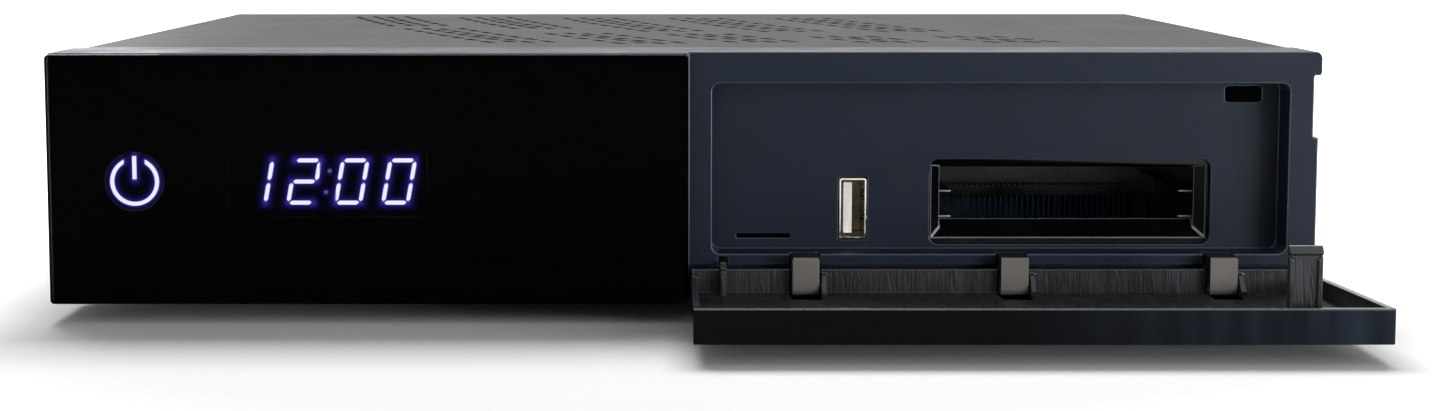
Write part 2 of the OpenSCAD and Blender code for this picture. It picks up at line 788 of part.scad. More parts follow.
module usb_front_shell() {
    x = around(usb_x, usb_short);
    color("silver") in_frame() difference() {
        union() {
            block(x, usb_front_y, usb_z);
            for (y = [4, 10]) block([x[0], x[1]], [usb_front_y[0] + y, usb_front_y[0] + y + 1.4],
                [socket_top, usb_z[0] + eps]);
        }
        block(grown(x, -usb_shell_t), [usb_front_y[0] - 1, usb_front_y[1] - usb_shell_t],
            grown(usb_z, -usb_shell_t));
        for (z = around(usb_z[0] + usb_long / 2, 5.6)) block([x[0] - 1, x[1] + 1],
            [usb_front_y[0] + 3, usb_front_y[0] + 8], around(z, 2.2));
    }
    color("silver") in_frame() for (z = around(usb_z[0] + usb_long / 2, 5.6)) {
        spring_tab(x[1], -1, z);
        spring_tab(x[0], 1, z);
    }
}

// leaf that bends into the shell from the far end of its window
module spring_tab(x, way, z) {
    t = usb_shell_t;
    far = usb_front_y[0] + 8.2;
    along_z(around(z, 1.4)) polygon([[x, far], [x + way * t, far], [x + way * (t + 0.35), far - 3.4],
        [x + way * t * 0.6, far - 4.6], [x + way * 0.35, far - 3.4]]);
}

module usb_front_tongue() {
    left = usb_x - usb_short / 2 + usb_shell_t + 0.62;
    z = around(usb_z[0] + usb_long / 2, 11.1);
    inside = around(usb_x, usb_short - 2 * usb_shell_t - 0.04);
    color("white") in_frame() {
        block([left, left + 1.84], [usb_front_y[0] + 1.6, usb_front_y[1] - 2], z);
        block(inside, [usb_front_y[1] - 3.4, usb_front_y[1] - usb_shell_t - 0.02],
            around(usb_z[0] + usb_long / 2, usb_long - 2 * usb_shell_t - 0.04));
        for (i = [-1.5, -0.5, 0.5, 1.5]) block([left + 1.84 - eps, left + 2.0],
            [usb_front_y[0] + 2.6, usb_front_y[1] - 4], around(usb_z[0] + usb_long / 2 + i * 2.25, 1));
    }
}

module memory_card_socket() {
    y = [panel_back + 0.1, panel_back + 15.1];
    color("silver") in_frame() difference() {
        block(around(sd_x, sd_w + 2.4), y, [socket_top, slit_z + sd_h + 0.4]);
        block(around(sd_x, sd_w - 0.2), [y[0] - 1, y[1] - 1.5], [slit_z, slit_z + sd_h - 0.1]);
    }
}

// ---- double card slot ----

// ramps all round, from the panel's opening down to the card space
module card_funnel() {
    wide = grown(card_sides, 2.2);
    intersection() {
        along_x(grown(wide, 1)) polygon([[card_front - 1, card_open_z + 0.9],
            [card_front + 0.6, card_open_z + 1.1], [card_mouth, card_floor - 0.5],
            [card_mouth + 1, card_floor - 0.5], [card_mouth + 1, card_top - card_ledge],
            [card_mouth, card_top - card_ledge], [card_front - 1, card_top + 0.8]]);
        along_z([card_open_z, card_top + 2]) polygon([[wide[0], card_front - 1], [wide[1], card_front - 1],
            [wide[1], card_front + 0.6], [card_sides[1], card_front + 3], [card_sides[1], card_mouth + 1],
            [card_sides[0], card_mouth + 1], [card_sides[0], card_front + 3], [wide[0], card_front + 0.6]]);
    }
}

module card_slot_frame() {
    outside = grown(card_sides, card_wall);
    color([0.05, 0.05, 0.055]) in_frame() {
        difference() {
            block(grown(around(card_x, card_open_w), 0.8), [card_front, card_mouth],
                [card_open_z - 0.6, card_open_z + card_open_h + 0.8]);
            card_funnel();
        }
        for (side = [0, 1]) {
            x = side == 0 ? [outside[0], card_sides[0]] : [card_sides[1], outside[1]];
            ledge = side == 0 ? [x[1] - eps, x[1] + card_ledge_w] : [x[0] - card_ledge_w, x[0] + eps];
            block(x, [card_mouth - 1, card_end + header_l], [board_top, card_top + card_ledge]);
            for (level = [0:2]) block(ledge, [card_mouth, card_end],
                [card_floor - card_ledge + level * card_level, card_floor + level * card_level]);
        }
        block(grown(card_sides, eps), [card_end, card_end + header_l], [card_floor - card_ledge, card_top]);
    }
}

module card_slot_cover() {
    color("silver") in_frame() difference() {
        block(grown(card_sides, card_wall), [card_mouth + 6, card_end + header_l],
            [card_top + card_ledge, card_top + card_ledge + 0.4]);
        for (i = [-1, 0, 1]) block(around(card_x + i * 17, 9), [card_mouth + 14, card_mouth + 26],
            [card_top, card_top + 2]);
    }
}

module card_slot_pins() {
    first = card_x - (card_pins - 1) / 2 * card_pin_pitch;
    color("gold") in_frame() for (i = [0:card_pins - 1]) {
        x = around(first + i * card_pin_pitch, 0.4);
        for (level = [0, 1]) block(x, [card_end - 4, card_end],
            around(card_floor + card_h / 2 + level * card_level, 0.4));
        block(x, [card_end + 0.2, card_end + 0.6], [board_top, card_floor - card_ledge]);
    }
}

// ---- main board and what stands on it ----

module main_board() {
    color([0.05, 0.25, 0.12]) in_frame() difference() {
        along_z([board_z, board_top]) polygon([[-board_half, board_y[0]], [tongue_x[0], board_y[0]],
            [tongue_x[0], tongue_y], [tongue_x[1], tongue_y], [tongue_x[1], board_y[0]],
            [board_half, board_y[0]], [board_half, board_y[1]], [-board_half, board_y[1]]]);
        for (at = standoff_at) translate([at[0], at[1], board_z - 1]) cylinder(h = 4, r = screw_r + 0.2);
    }
}

chip_at = [22, board_y[0] + 50];
chip_h = 1.4;

module processor() {
    color([0.12, 0.12, 0.13]) in_frame()
        block(around(chip_at[0], chip_w), around(chip_at[1], chip_w), [board_top, board_top + chip_h]);
}

module heat_sink() {
    low = board_top + chip_h;
    gap = (sink_w - 1.4) / (sink_fins - 1);
    color([0.15, 0.15, 0.16]) in_frame() {
        block(around(chip_at[0], sink_w), around(chip_at[1], sink_w), [low, low + 3]);
        for (i = [0:sink_fins - 1]) {
            x = chip_at[0] - sink_w / 2 + i * gap;
            block([x, x + 1.4], around(chip_at[1], sink_w), [low + 3 - eps, low + sink_h]);
        }
    }
}

module memory_chips() {
    color([0.12, 0.12, 0.13]) in_frame() for (i = [0:3])
        block(around(chip_at[0] - 42, 11), around(chip_at[1] - 24 + i * 16, 9), [board_top, board_top + 1.1]);
}

// coils in a row, with a capacitor in front of each
coil_w = 8;
coil_pitch = 1.5 * coil_w;
coil_x = board_half - 62.1;
coil_y = board_y[0] + 45;

module capacitors() {
    color([0.1, 0.15, 0.3]) in_frame() for (i = [0:4]) translate([coil_x + i * coil_pitch, coil_y - 15, board_top])
        cylinder(h = 12.5, r = coil_w / 2);
}

module coils() {
    color([0.25, 0.25, 0.26]) in_frame() for (i = [0:4])
        block(around(coil_x + i * coil_pitch, coil_w), around(coil_y, coil_w), [board_top, board_top + 4.2]);
}

tuner_w = 34;
tuner_y = [board_y[1] - 42, back_y - sheet - 0.4];
tuner_h = 19;

// screened box with a lid seam and a row of vents
module tuner_can(i) {
    x = around(tuner_x[i], tuner_w);
    color("silver") in_frame() difference() {
        block(x, tuner_y, [board_top, board_top + tuner_h]);
        for (side = [-1, 1]) rod_y([tuner_y[1] - 4, tuner_y[1] + 1], tuner_x[i] + side * f_pitch / 2,
            f_z, f_r - 1.2);
        for (k = [-2:2]) block(around(tuner_x[i] + k * 5, 2), around(tuner_y[0] + 16, 12),
            [board_top + tuner_h - 0.6, board_top + tuner_h + 1]);
    }
}

module tuner_can_left() {
    tuner_can(0);
}

module tuner_can_right() {
    tuner_can(1);
}

module aerial_connectors() {
    color("gold") in_frame() for (x = tuner_x, side = [-1, 1]) difference() {
        union() {
            rod_y([tuner_y[1], back_y + f_reach], x + side * f_pitch / 2, f_z, f_r);
            translate([x + side * f_pitch / 2, back_y, f_z]) rotate([-90, 0, 0])
                cylinder(h = 2, r = f_r + 1.6, $fn = 6);
        }
        rod_y([tuner_y[1] - 1, back_y + f_reach + 1], x + side * f_pitch / 2, f_z, f_r - 1.2);
    }
}

module aerial_insulators() {
    color("white") in_frame() for (x = tuner_x, side = [-1, 1]) difference() {
        rod_y([tuner_y[1] - 4, back_y + f_reach - 0.8], x + side * f_pitch / 2, f_z, f_r - 1.2);
        rod_y([back_y, back_y + f_reach], x + side * f_pitch / 2, f_z, 0.6);
    }
}

module hdmi_socket() {
    y = [back_y - 12, back_y + 0.4];
    z = [board_top, board_top + hdmi_h];
    color("silver") in_frame() {
        difference() {
            block(around(hdmi_x, hdmi_w), y, z);
            along_y([y[0] + 2, y[1] + 1]) translate([hdmi_x, z[0]]) polygon([[-5.6, 0.5], [5.6, 0.5],
                [7.1, 2.2], [7.1, 5.5], [-7.1, 5.5], [-7.1, 2.2]]);
        }
        block(around(hdmi_x, 11), [y[0] + 2 - eps, y[1] - 1.6], [z[0] + 2.9, z[0] + 4]);
    }
}

module network_socket() {
    y = [back_y - 20, back_y + 0.4];
    z = [board_top, board_top + network_h];
    color("silver") in_frame() difference() {
        block(around(network_x, network_w), y, z);
        block(around(network_x, 11.8), [y[0] + 8, y[1] + 1], [z[0] + 3.4, z[0] + 11.4]);
        block(around(network_x, 5.6), [y[0] + 8, y[1] + 1], [z[0] + 1.2, z[0] + 3.5]);
        for (side = [-1, 1]) block(around(network_x + side * 6.3, 2), [y[1] - 1, y[1] + 1],
            [z[0] + 1, z[0] + 2.6]);
    }
}

usb_rear_z = [board_top + 0.6, board_top + usb_rear_h - 0.6 - usb_short];

module usb_rear_shell() {
    y = [back_y - 16, back_y + 0.4];
    color("silver") in_frame() difference() {
        block(around(usb_rear_x, usb_long), y, [board_top, board_top + usb_rear_h]);
        for (z = usb_rear_z) block(around(usb_rear_x, usb_long - 2 * usb_shell_t), [y[0] + 2, y[1] + 1],
            [z + usb_shell_t, z + usb_short - usb_shell_t]);
    }
}

module usb_rear_tongues() {
    y = [back_y - 14, back_y - 1.2];
    color("white") in_frame() for (z = usb_rear_z) {
        block(around(usb_rear_x, 11.1), y, [z + usb_short - usb_shell_t - 2.4, z + usb_short - usb_shell_t - 0.6]);
        for (i = [-1.5, -0.5, 0.5, 1.5]) block(around(usb_rear_x + i * 2.25, 1), [y[0] + 2, y[1] - 1],
            [z + usb_short - usb_shell_t - 2.56, z + usb_short - usb_shell_t - 2.4 + eps]);
    }
}

// optical socket: the shutter hangs from two pivots at the top of the mouth
optical_y = [back_y - 11, back_y + 0.4];
optical_z = board_top + optical_w / 2;
shutter_y = optical_y[1] - 0.5 - shutter_t / 2;
shutter_z = optical_z + shutter_w / 2 - 0.1;
shutter_clear = 0.07;

module optical_socket() {
    mouth = around(optical_x, shutter_w + 0.5);
    color([0.08, 0.08, 0.08]) in_frame() {
        difference() {
            block(around(optical_x, optical_w), optical_y, around(optical_z, optical_w));
            block(mouth, [optical_y[0] + 2, optical_y[1] + 1],
                [optical_z - shutter_w / 2 - 0.5, shutter_z + shutter_pin_r + 0.35]);
            rod_x(around(optical_x, shutter_w + 1.5), shutter_y, shutter_z, shutter_pin_r + shutter_clear);
        }
        rod_y([optical_y[0] + 2 - eps, optical_y[0] + 3], optical_x, optical_z, 1.1);
    }
}

module optical_shutter() {
    color([0.12, 0.12, 0.12]) in_frame() {
        block(around(optical_x, shutter_w), around(shutter_y, shutter_t),
            [shutter_z - shutter_w + 0.2, shutter_z]);
        rod_x(around(optical_x, shutter_w), shutter_y, shutter_z, shutter_t / 2);
        rod_x(around(optical_x, shutter_w + 1.3), shutter_y, shutter_z, shutter_pin_r);
    }
}

module audio_video_jack() {
    color([0.1, 0.1, 0.1]) in_frame() difference() {
        union() {
            block(around(jack_x, 8), [back_y - 14, back_y - sheet - 0.3], [board_top, jack_z + 4.4]);
            rod_y([back_y - sheet - 0.4, back_y + 0.6], jack_x, jack_z, jack_out_r);
        }
        rod_y([back_y - 11.4, back_y + 1], jack_x, jack_z, jack_r);
    }
}

module power_inlet() {
    z = board_top + 6.5;
    color([0.1, 0.1, 0.1]) in_frame() {
        difference() {
            block(around(inlet_x, inlet_w), [back_y - 13, back_y + 0.4], [board_top, board_top + inlet_h]);
            rod_y([back_y - 9, back_y + 1], inlet_x, z, 2.9);
        }
        rod_y([back_y - 9 - eps, back_y - 0.6], inlet_x, z, 1);
    }
}

// rocker switch: its rocker turns about a line along x behind the flange
module power_switch() {
    hole = [rocker_w + 0.6, 2 * rocker_r + 0.6];
    color([0.06, 0.06, 0.06]) in_frame() difference() {
        union() {
            block(around(switch_x, switch_w - 2), [back_y - 14, back_y + eps], around(switch_z, switch_h - 2));
            block(around(switch_x, switch_w), [back_y, back_y + 1.6], around(switch_z, switch_h));
        }
        block(around(switch_x, hole[0]), [rocker_y - 7, back_y + 3], around(switch_z, hole[1]));
        rod_x(around(switch_x, rocker_w + 1.4), rocker_y, switch_z, rocker_pin_r + 0.08);
    }
}

module power_rocker() {
    r = rocker_r;
    color([0.06, 0.06, 0.06]) in_frame() {
        intersection() {
            rod_x(around(switch_x, rocker_w), rocker_y, switch_z, r);
            translate([0, rocker_y, switch_z]) rotate([rocker_tilt, 0, 0])
                along_x(around(switch_x, rocker_w)) polygon([[-3, -r - 1], [4.2, -r - 1], [3, 0],
                    [4.2, r + 1], [-3, r + 1]]);
        }
        rod_x(around(switch_x, rocker_w + 1.2), rocker_y, switch_z, rocker_pin_r);
    }
}

// ---- cables between boards ----

cable_t = 0.8;
cable_w = 12;
plug = [cable_w + 3, 5, 5];
display_cable_x = clock_x + 6.3;
socket_cable_x = usb_x - 9.8;

module display_cable() {
    x = around(display_cable_x, cable_w);
    y0 = display_y + pcb_t;
    color([0.75, 0.75, 0.72]) in_frame() {
        block(around(display_cable_x, plug[0]), [y0, y0 + plug[1]], [display_z[0] + 2, display_z[0] + 2 + plug[2]]);
        block(x, [y0 + plug[1] - eps, board_y[0] + 9], [display_z[0] + 4, display_z[0] + 4 + cable_t]);
        block(around(display_cable_x, plug[0]), [board_y[0] + 4, board_y[0] + 9], [board_top, display_z[0] + 4 + eps]);
    }
}

module socket_cable() {
    x = around(socket_cable_x, cable_w);
    color([0.75, 0.75, 0.72]) in_frame() {
        block(around(socket_cable_x, plug[0]), [socket_y[1] - 6, socket_y[1] - 1], [socket_top, socket_top + plug[2]]);
        block(x, [socket_y[1] - 1 - eps, board_y[0] + 9], [socket_top + 3, socket_top + 3 + cable_t]);
        block(around(socket_cable_x, plug[0]), [board_y[0] + 4, board_y[0] + 9], [board_top, socket_top + 3 + eps]);
    }
}

// ---- fasteners and feet ----

module board_standoffs() {
    color("gold") in_frame() {
        for (at = standoff_at) difference() {
            translate([at[0], at[1], sheet]) cylinder(h = standoff_h, r = standoff_r, $fn = 6);
            translate([at[0], at[1], board_z - 5]) cylinder(h = 6, r = screw_r);
        }
        for (at = socket_posts) difference() {
            translate([at[0], at[1], sheet]) cylinder(h = socket_z - sheet, r = standoff_r, $fn = 6);
            translate([at[0], at[1], socket_z - 5]) cylinder(h = 6, r = screw_r);
        }
    }
}

// pan-head screw pointing down, its seat at the origin
module screw_down(l) {
    cylinder(h = head_h, r = head_r);
    translate([0, 0, -l]) cylinder(h = l + eps, r = screw_r);
}

module board_screws() {
    color("silver") in_frame() {
        for (at = standoff_at) translate([at[0], at[1], board_top]) screw_down(pcb_t + 4);
        for (at = socket_posts) translate([at[0], at[1], socket_top]) screw_down(pcb_t + 4);
    }
}

module display_screws() {
    color("silver") in_frame() for (at = display_boss)
        translate([at[0], display_y + pcb_t, at[1]]) rotate([-90, 0, 0]) {
            cylinder(h = head_h, r = head_r);
            translate([0, 0, -pcb_t - 3]) cylinder(h = pcb_t + 3 + eps, r = screw_r - 0.4);
        }
}

module fascia_screws() {
    color("silver") in_frame() for (x = tab_x) translate([x, fascia_d + tab_in, 0])
        rotate([180, 0, 0]) {
            cylinder(h = head_h, r = head_r);
            translate([0, 0, -sheet - 1.8]) cylinder(h = sheet + 1.8 + eps, r = screw_r - 0.2);
        }
}

module cover_screws() {
    color([0.1, 0.1, 0.1]) in_frame() for (x = screw_rear)
        translate([x, tall_y, lip_z + rear_lip_h / 2]) rotate([-90, 0, 0]) {
            cylinder(h = head_h, r = head_r);
            translate([0, 0, -cover_t - sheet - 2]) cylinder(h = cover_t + sheet + 2 + eps, r = screw_r);
        }
}

module rubber_feet() {
    color([0.08, 0.08, 0.08]) in_frame()
        for (x = [-1, 1] * (half_w - foot_in), y = [fascia_d + foot_in - 4, back_y - foot_in])
            translate([x, y, -foot_h]) cylinder(h = foot_h, r1 = foot_r - 1, r2 = foot_r);
}

base_pan();
rear_panel();
top_cover();
fascia();
front_window();
display_board();
display_module();
display_segments();
standby_light();
infrared_receiver();
flap_door();
hinge_claw_left();
hinge_claw_middle();
hinge_claw_right();
latch_clip();
socket_board();
usb_front_shell();
usb_front_tongue();
memory_card_socket();
card_slot_frame();
card_slot_cover();
card_slot_pins();
main_board();
processor();
heat_sink();
memory_chips();
capacitors();
coils();
tuner_can_left();
tuner_can_right();
aerial_connectors();
aerial_insulators();
hdmi_socket();
network_socket();
usb_rear_shell();
usb_rear_tongues();
optical_socket();
optical_shutter();
audio_video_jack();
power_inlet();
power_switch();
power_rocker();
display_cable();
socket_cable();
board_standoffs();
board_screws();
display_screws();
fascia_screws();
cover_screws();
rubber_feet();
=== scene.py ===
"""The looks of a satellite television receiver with an open flap, laid out as an add-on and run as a script."""

import math
from contextlib import contextmanager

import bmesh
import bpy
import numpy as np
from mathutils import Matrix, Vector
from mathutils.geometry import delaunay_2d_cdt


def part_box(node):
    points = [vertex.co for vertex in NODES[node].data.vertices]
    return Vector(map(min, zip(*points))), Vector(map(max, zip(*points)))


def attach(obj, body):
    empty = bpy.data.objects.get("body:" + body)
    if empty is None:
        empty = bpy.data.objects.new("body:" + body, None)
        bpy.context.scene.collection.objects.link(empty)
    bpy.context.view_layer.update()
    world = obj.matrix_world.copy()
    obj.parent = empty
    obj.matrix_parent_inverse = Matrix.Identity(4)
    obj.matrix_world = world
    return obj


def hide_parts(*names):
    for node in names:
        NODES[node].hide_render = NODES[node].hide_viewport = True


bl_info = {
    "name": "Satellite receiver",
    "version": (1, 0, 0),
    "blender": (4, 5, 0),
    "location": "3D View > Sidebar > Receiver",
    "description": "Dresses the packed receiver: painted cover, gloss window, lit clock, flap, sockets and studio",
    "category": "Object",
}

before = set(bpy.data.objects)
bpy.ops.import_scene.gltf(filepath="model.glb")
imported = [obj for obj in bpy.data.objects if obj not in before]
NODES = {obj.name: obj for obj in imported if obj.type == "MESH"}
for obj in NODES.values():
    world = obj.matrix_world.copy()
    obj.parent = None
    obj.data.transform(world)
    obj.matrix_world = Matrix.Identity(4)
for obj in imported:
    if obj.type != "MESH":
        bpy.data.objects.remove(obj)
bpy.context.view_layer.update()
MM = 0.001
DOUBLES = 1e-6  # points of a new mesh this close are one, in metres
CAD_DOUBLES = 2e-6  # and points of a CAD node

# the case's own origin: under the middle of the front face, at the foot of the case
CASE = np.array([0.0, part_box("front_window")[0].y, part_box("base_pan")[0].z])


def span(node, axis):
    """Lowest and highest place of a CAD node along an axis, in millimetres of the case."""
    low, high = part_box(node)
    return (low[axis] - CASE[axis]) / MM, (high[axis] - CASE[axis]) / MM


def linear(*levels):
    """Linear colour of three levels from 0 to 255, as a picture stores them."""
    share = np.array(levels) / 255
    return tuple(float(x) for x in np.where(share <= 0.04045, share / 12.92, ((share + 0.055) / 1.055) ** 2.4))


def times(tint, share):
    """A colour made lighter or darker by a share."""
    return tuple(min(1.0, share * c) for c in tint)


def colour(name, description, *levels):
    return bpy.props.FloatVectorProperty(name=name, description=description, default=linear(*levels),
                                         subtype="COLOR", size=3, min=0, max=1)


def length(name, description, millimetres):
    return bpy.props.FloatProperty(name=name, description=description, default=millimetres * MM,
                                   unit="LENGTH", min=0, max=1, precision=5)


def strength(name, description, default, most):
    return bpy.props.FloatProperty(name=name, description=description, default=default, min=0, max=most)


# ---- what a user would change ----

class ReceiverSizes(bpy.types.PropertyGroup):
    """Sizes and lights of the receiver's pieces"""
    edge_round: length("Edge round", "Round of the edges of moulded pieces", 0.3)
    sheet_edge: length("Sheet edge", "Round of the cut edges of sheet metal", 0.12)
    cover_thickness: length("Cover thickness", "Thickness of the cover's sheet", 0.8)
    cover_bend: length("Cover bend", "Outside radius of the cover's side bends", 1.6)
    rear_bend: length("Rear bend", "Outside radius of the bend over the rear panel", 0.8)
    slot_width: length("Slot width", "Width of a vent slot", 2.1)
    slot_length: length("Slot length", "Length of a vent slot", 7.2)
    thread_pitch: length("Thread pitch", "Pitch of the aerial connectors' thread", 0.79)
    thread_depth: length("Thread depth", "Depth of the aerial connectors' thread", 0.42)
    glow_reach: length("Glow reach", "How far the light of a lit bar spreads over the display", 0.4)
    glow_share: strength("Glow share", "Light beside a lit bar, as a share of the bar's own", 0.3, 1)
    lamp_strength: strength("Lamp strength", "Light of the lit bars behind the tinted window", 22.0, 200)


class ReceiverColours(bpy.types.PropertyGroup):
    """Colours of the receiver's finishes"""
    front: colour("Front", "Moulded front, bezel and recess", 27, 35, 47)
    cover: colour("Cover", "Paint of the top cover", 36, 38, 41)
    tinted: colour("Tinted window", "Acrylic of the window, which the clock shines through", 60, 60, 64)
    gloss: colour("Gloss", "Lacquer of the flap's outside", 6, 6, 8)
    # a painted reflection: the bluish light that the flap's front shows towards its right end, not a property of the
    # lacquer
    painted_reflection: colour("Haze", "Handled end of the flap's lacquer", 34, 42, 52)
    inside: colour("Flap inside", "Rough plastic inside the flap", 26, 27, 30)
    claws: colour("Claws", "Front faces of the hinge claws", 113, 109, 104)
    lit: colour("Lit bars", "Light of the clock's bars", 236, 240, 255)
    dots: colour("Colon dots", "Light of the clock's two dots", 150, 142, 246)
    glow: colour("Glow", "Light around the clock's bars", 86, 66, 232)
    board: colour("Boards", "Lacquer of the circuit boards", 9, 24, 33)
    floor: colour("Floor", "Studio floor", 238, 238, 238)


# ---- meshes ----

def grid_faces(rows, columns, wrap_rows=False, wrap_columns=False):
    """Corner numbers of the four-cornered faces of a grid of points, rows by columns."""
    r = np.arange(rows if wrap_rows else rows - 1)[:, None]
    c = np.arange(columns if wrap_columns else columns - 1)[None, :]
    r2, c2 = (r + 1) % rows, (c + 1) % columns
    corners = [r * columns + c, r * columns + c2, r2 * columns + c2, r2 * columns + c]
    return np.stack(np.broadcast_arrays(*corners), axis=-1).reshape(-1, 4)


def angles(columns):
    """The angles of a number of columns, once round."""
    return np.linspace(0, 2 * math.pi, columns + 1)[:-1]


def round_y(r, y, a):
    """Points at a radius, a place along y and an angle: (r sin a, y, r cos a)."""
    return np.stack(np.broadcast_arrays(r * np.sin(a), y, r * np.cos(a)), axis=-1)


def surface(points, wrap_rows=False, wrap_columns=False):
    """A grid of points, rows by columns by 3, as (points, faces)."""
    rows, columns = points.shape[:2]
    return points.reshape(-1, 3), grid_faces(rows, columns, wrap_rows, wrap_columns)


def joined(parts):
    """Several (points, faces) as one."""
    starts = np.cumsum([0] + [len(p) for p, _ in parts[:-1]])
    return np.concatenate([p for p, _ in parts]), np.concatenate([f + s for (_, f), s in zip(parts, starts)])


@contextmanager
def edited(mesh):
    """A mesh open for editing, which is written back at the end."""
    shape = bmesh.new()
    shape.from_mesh(mesh)
    yield shape
    shape.to_mesh(mesh)
    shape.free()


def new_piece(name, mesh, body, slot, materials, replaces=(), sharp=32):
    """Puts a mesh into the scene as a piece of the receiver, creased where its faces turn by over sharp degrees."""
    piece = bpy.data.objects.new(name, mesh)
    bpy.context.scene.collection.objects.link(piece)
    for material in materials:
        mesh.materials.append(material)
    mesh.shade_smooth()
    mesh.set_sharp_from_angle(angle=math.radians(sharp))
    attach(piece, body)
    if replaces:
        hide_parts(*replaces)
    return piece


def settled(piece, sharp=50):
    """Applies a piece's modifiers, creases it again, and weighs its normals by area so that flat faces look flat."""
    mesh = bpy.data.meshes.new_from_object(piece.evaluated_get(bpy.context.evaluated_depsgraph_get()))
    piece.modifiers.clear()
    piece.data = mesh
    mesh.shade_smooth()
    mesh.set_sharp_from_angle(angle=math.radians(sharp))
    normals = piece.modifiers.new("Normals", "WEIGHTED_NORMAL")
    normals.keep_sharp = True
    normals.weight = 100
    return piece


def mesh_of(name, points, faces, closed=True):
    """A mesh of points in millimetres of the case, with doubles merged and its faces turned outwards."""
    faces = faces.tolist() if isinstance(faces, np.ndarray) else faces
    mesh = bpy.data.meshes.new(name)
    mesh.from_pydata((points * MM + CASE).tolist(), [], faces)
    with edited(mesh) as shape:
        bmesh.ops.remove_doubles(shape, verts=shape.verts, dist=DOUBLES)
        bmesh.ops.dissolve_degenerate(shape, edges=shape.edges, dist=DOUBLES / 10)
        if closed:
            bmesh.ops.recalc_face_normals(shape, faces=shape.faces)
    return mesh


CREASE = math.radians(25)  # an edge that turns by more than this gets a bevel
FLAT = math.radians(0.6)  # faces that turn by less than this are one
PAIR_SHARE = 0.45  # share of the way to another creased edge that a bevel may take
LONE_SHARE = 0.85  # and to a plain one
NARROWINGS = (0.5, 0.5, 0.5, 0, 0)  # shares of its width that a bevel with folded faces is cut to, one after another
EDGE_FACING = 0.985  # the most that a bevel's face looks along one axis
EDGE_AREA = 20.0  # its largest area, in square millimetres
EDGE_Y = 24.0  # and how far behind the front it lies


def rooms_in_face(face, creased):
    """How wide a bevel each edge of a face has room for, in metres. Rays run from three places of the edge across the
    face, at right angles to it, to the first other edge: a creased one leaves PAIR_SHARE of the way, and a plain one
    LONE_SHARE. A neighbour that turns off leaves the same shares of its own reach across the edge, which is its length
    times the sine of the turn."""
    edges = [loop.edge for loop in face.loops]
    a = np.array([loop.vert.co for loop in face.loops])
    along = np.roll(a, -1, axis=0) - a
    size = np.maximum(np.linalg.norm(along, axis=1), 1e-9)
    along = along / size[:, None]
    across = np.cross(np.array(face.normal), along)
    hard = np.array([edge in creased for edge in edges])
    share = np.where(hard, PAIR_SHARE, LONE_SHARE)
    n = len(edges)
    room = np.full(n, 1.0)
    meets = np.zeros((n, n), bool)
    for step in (0, 1, -1):
        meets[np.arange(n), (np.arange(n) + step) % n] = True
    for part in (0.15, 0.5, 0.85):
        start = a + along * (size * part)[:, None]
        gap = a[None] - start[:, None]
        turn = np.einsum("ik,jk->ij", across, across)
        slant = np.einsum("ik,jk->ij", across, along)
        out = np.einsum("ijk,jk->ij", gap, across)
        with np.errstate(divide="ignore", invalid="ignore"):
            reach = np.where(np.abs(turn) > 1e-6, out / turn, np.inf)
            place = reach * slant - np.einsum("ijk,jk->ij", gap, along)
        seen = (reach > 1e-7) & (place > -1e-7) & (place < size[None] + 1e-7) & ~meets
        room = np.minimum(room, np.where(seen, reach * share[None], 1.0).min(axis=1))
    for step in (1, -1):
        cosine = (along * np.roll(along, -step, axis=0)).sum(axis=1)
        beside = np.roll(size * share, -step) * np.sqrt(np.maximum(1 - cosine**2, 0))
        room = np.minimum(room, np.where(cosine < math.cos(CREASE), beside, 1.0))
    return zip(edges, room)


def run_on(edge, creased):
    """The creased edges that carry an edge's line on: those that turn by less than the crease angle at either end."""
    for vert in edge.verts:
        way = (edge.other_vert(vert).co - vert.co).normalized()
        for other in vert.link_edges:
            onward = (vert.co - other.other_vert(vert).co).normalized()
            if other is not edge and other in creased and way.dot(onward) > math.cos(CREASE):
                yield other


def evened(widths, creased):
    """Gives every line of creased edges the width of its narrowest."""
    left = set(creased)
    while left:
        line, new = set(), {left.pop()}
        while new:
            line |= new
            new = {other for edge in new for other in run_on(edge, creased)} - line
        left -= line
        least = min(widths[edge] for edge in line)
        widths.update(dict.fromkeys(line, least))
    return widths


def copy_of_nodes(name, nodes, width, wide=None):
    """One merged mesh of CAD nodes, its flat faces whole again and each crease weighted for its bevel, and the widest
    bevel's width. A crease's is wide(ends), from its ends in millimetres of the case, or else the width given, as far
    as the faces have room."""
    shape = bmesh.new()
    for node in nodes:
        shape.from_mesh(NODES[node].data)
    bmesh.ops.remove_doubles(shape, verts=shape.verts, dist=CAD_DOUBLES)
    bmesh.ops.dissolve_limit(shape, angle_limit=FLAT, verts=shape.verts, edges=shape.edges)
    weight = shape.edges.layers.float.new("bevel_weight_edge")
    creased = {e for e in shape.edges if len(e.link_faces) == 2 and e.calc_face_angle(0) > CREASE}
    widths = {}
    for edge in creased:
        ends = (np.array([v.co for v in edge.verts]) - CASE) / MM
        widths[edge] = (wide and wide(ends)) or width
    for face in shape.faces:
        if any(edge in creased for edge in face.edges):
            for edge, room in rooms_in_face(face, creased):
                if edge in creased:
                    widths[edge] = min(widths[edge], room)
    widths = evened(widths, creased)
    most = max(widths.values())
    for edge in creased:
        edge[weight] = widths[edge] / most
    mesh = bpy.data.meshes.new(name)
    shape.to_mesh(mesh)
    shape.free()
    return mesh, most


def array_of(items, key, size, kind=float):
    """One attribute of a mesh's items as an array of rows."""
    values = np.empty(len(items) * size, kind)
    items.foreach_get(key, values)
    return values.reshape(-1, size)


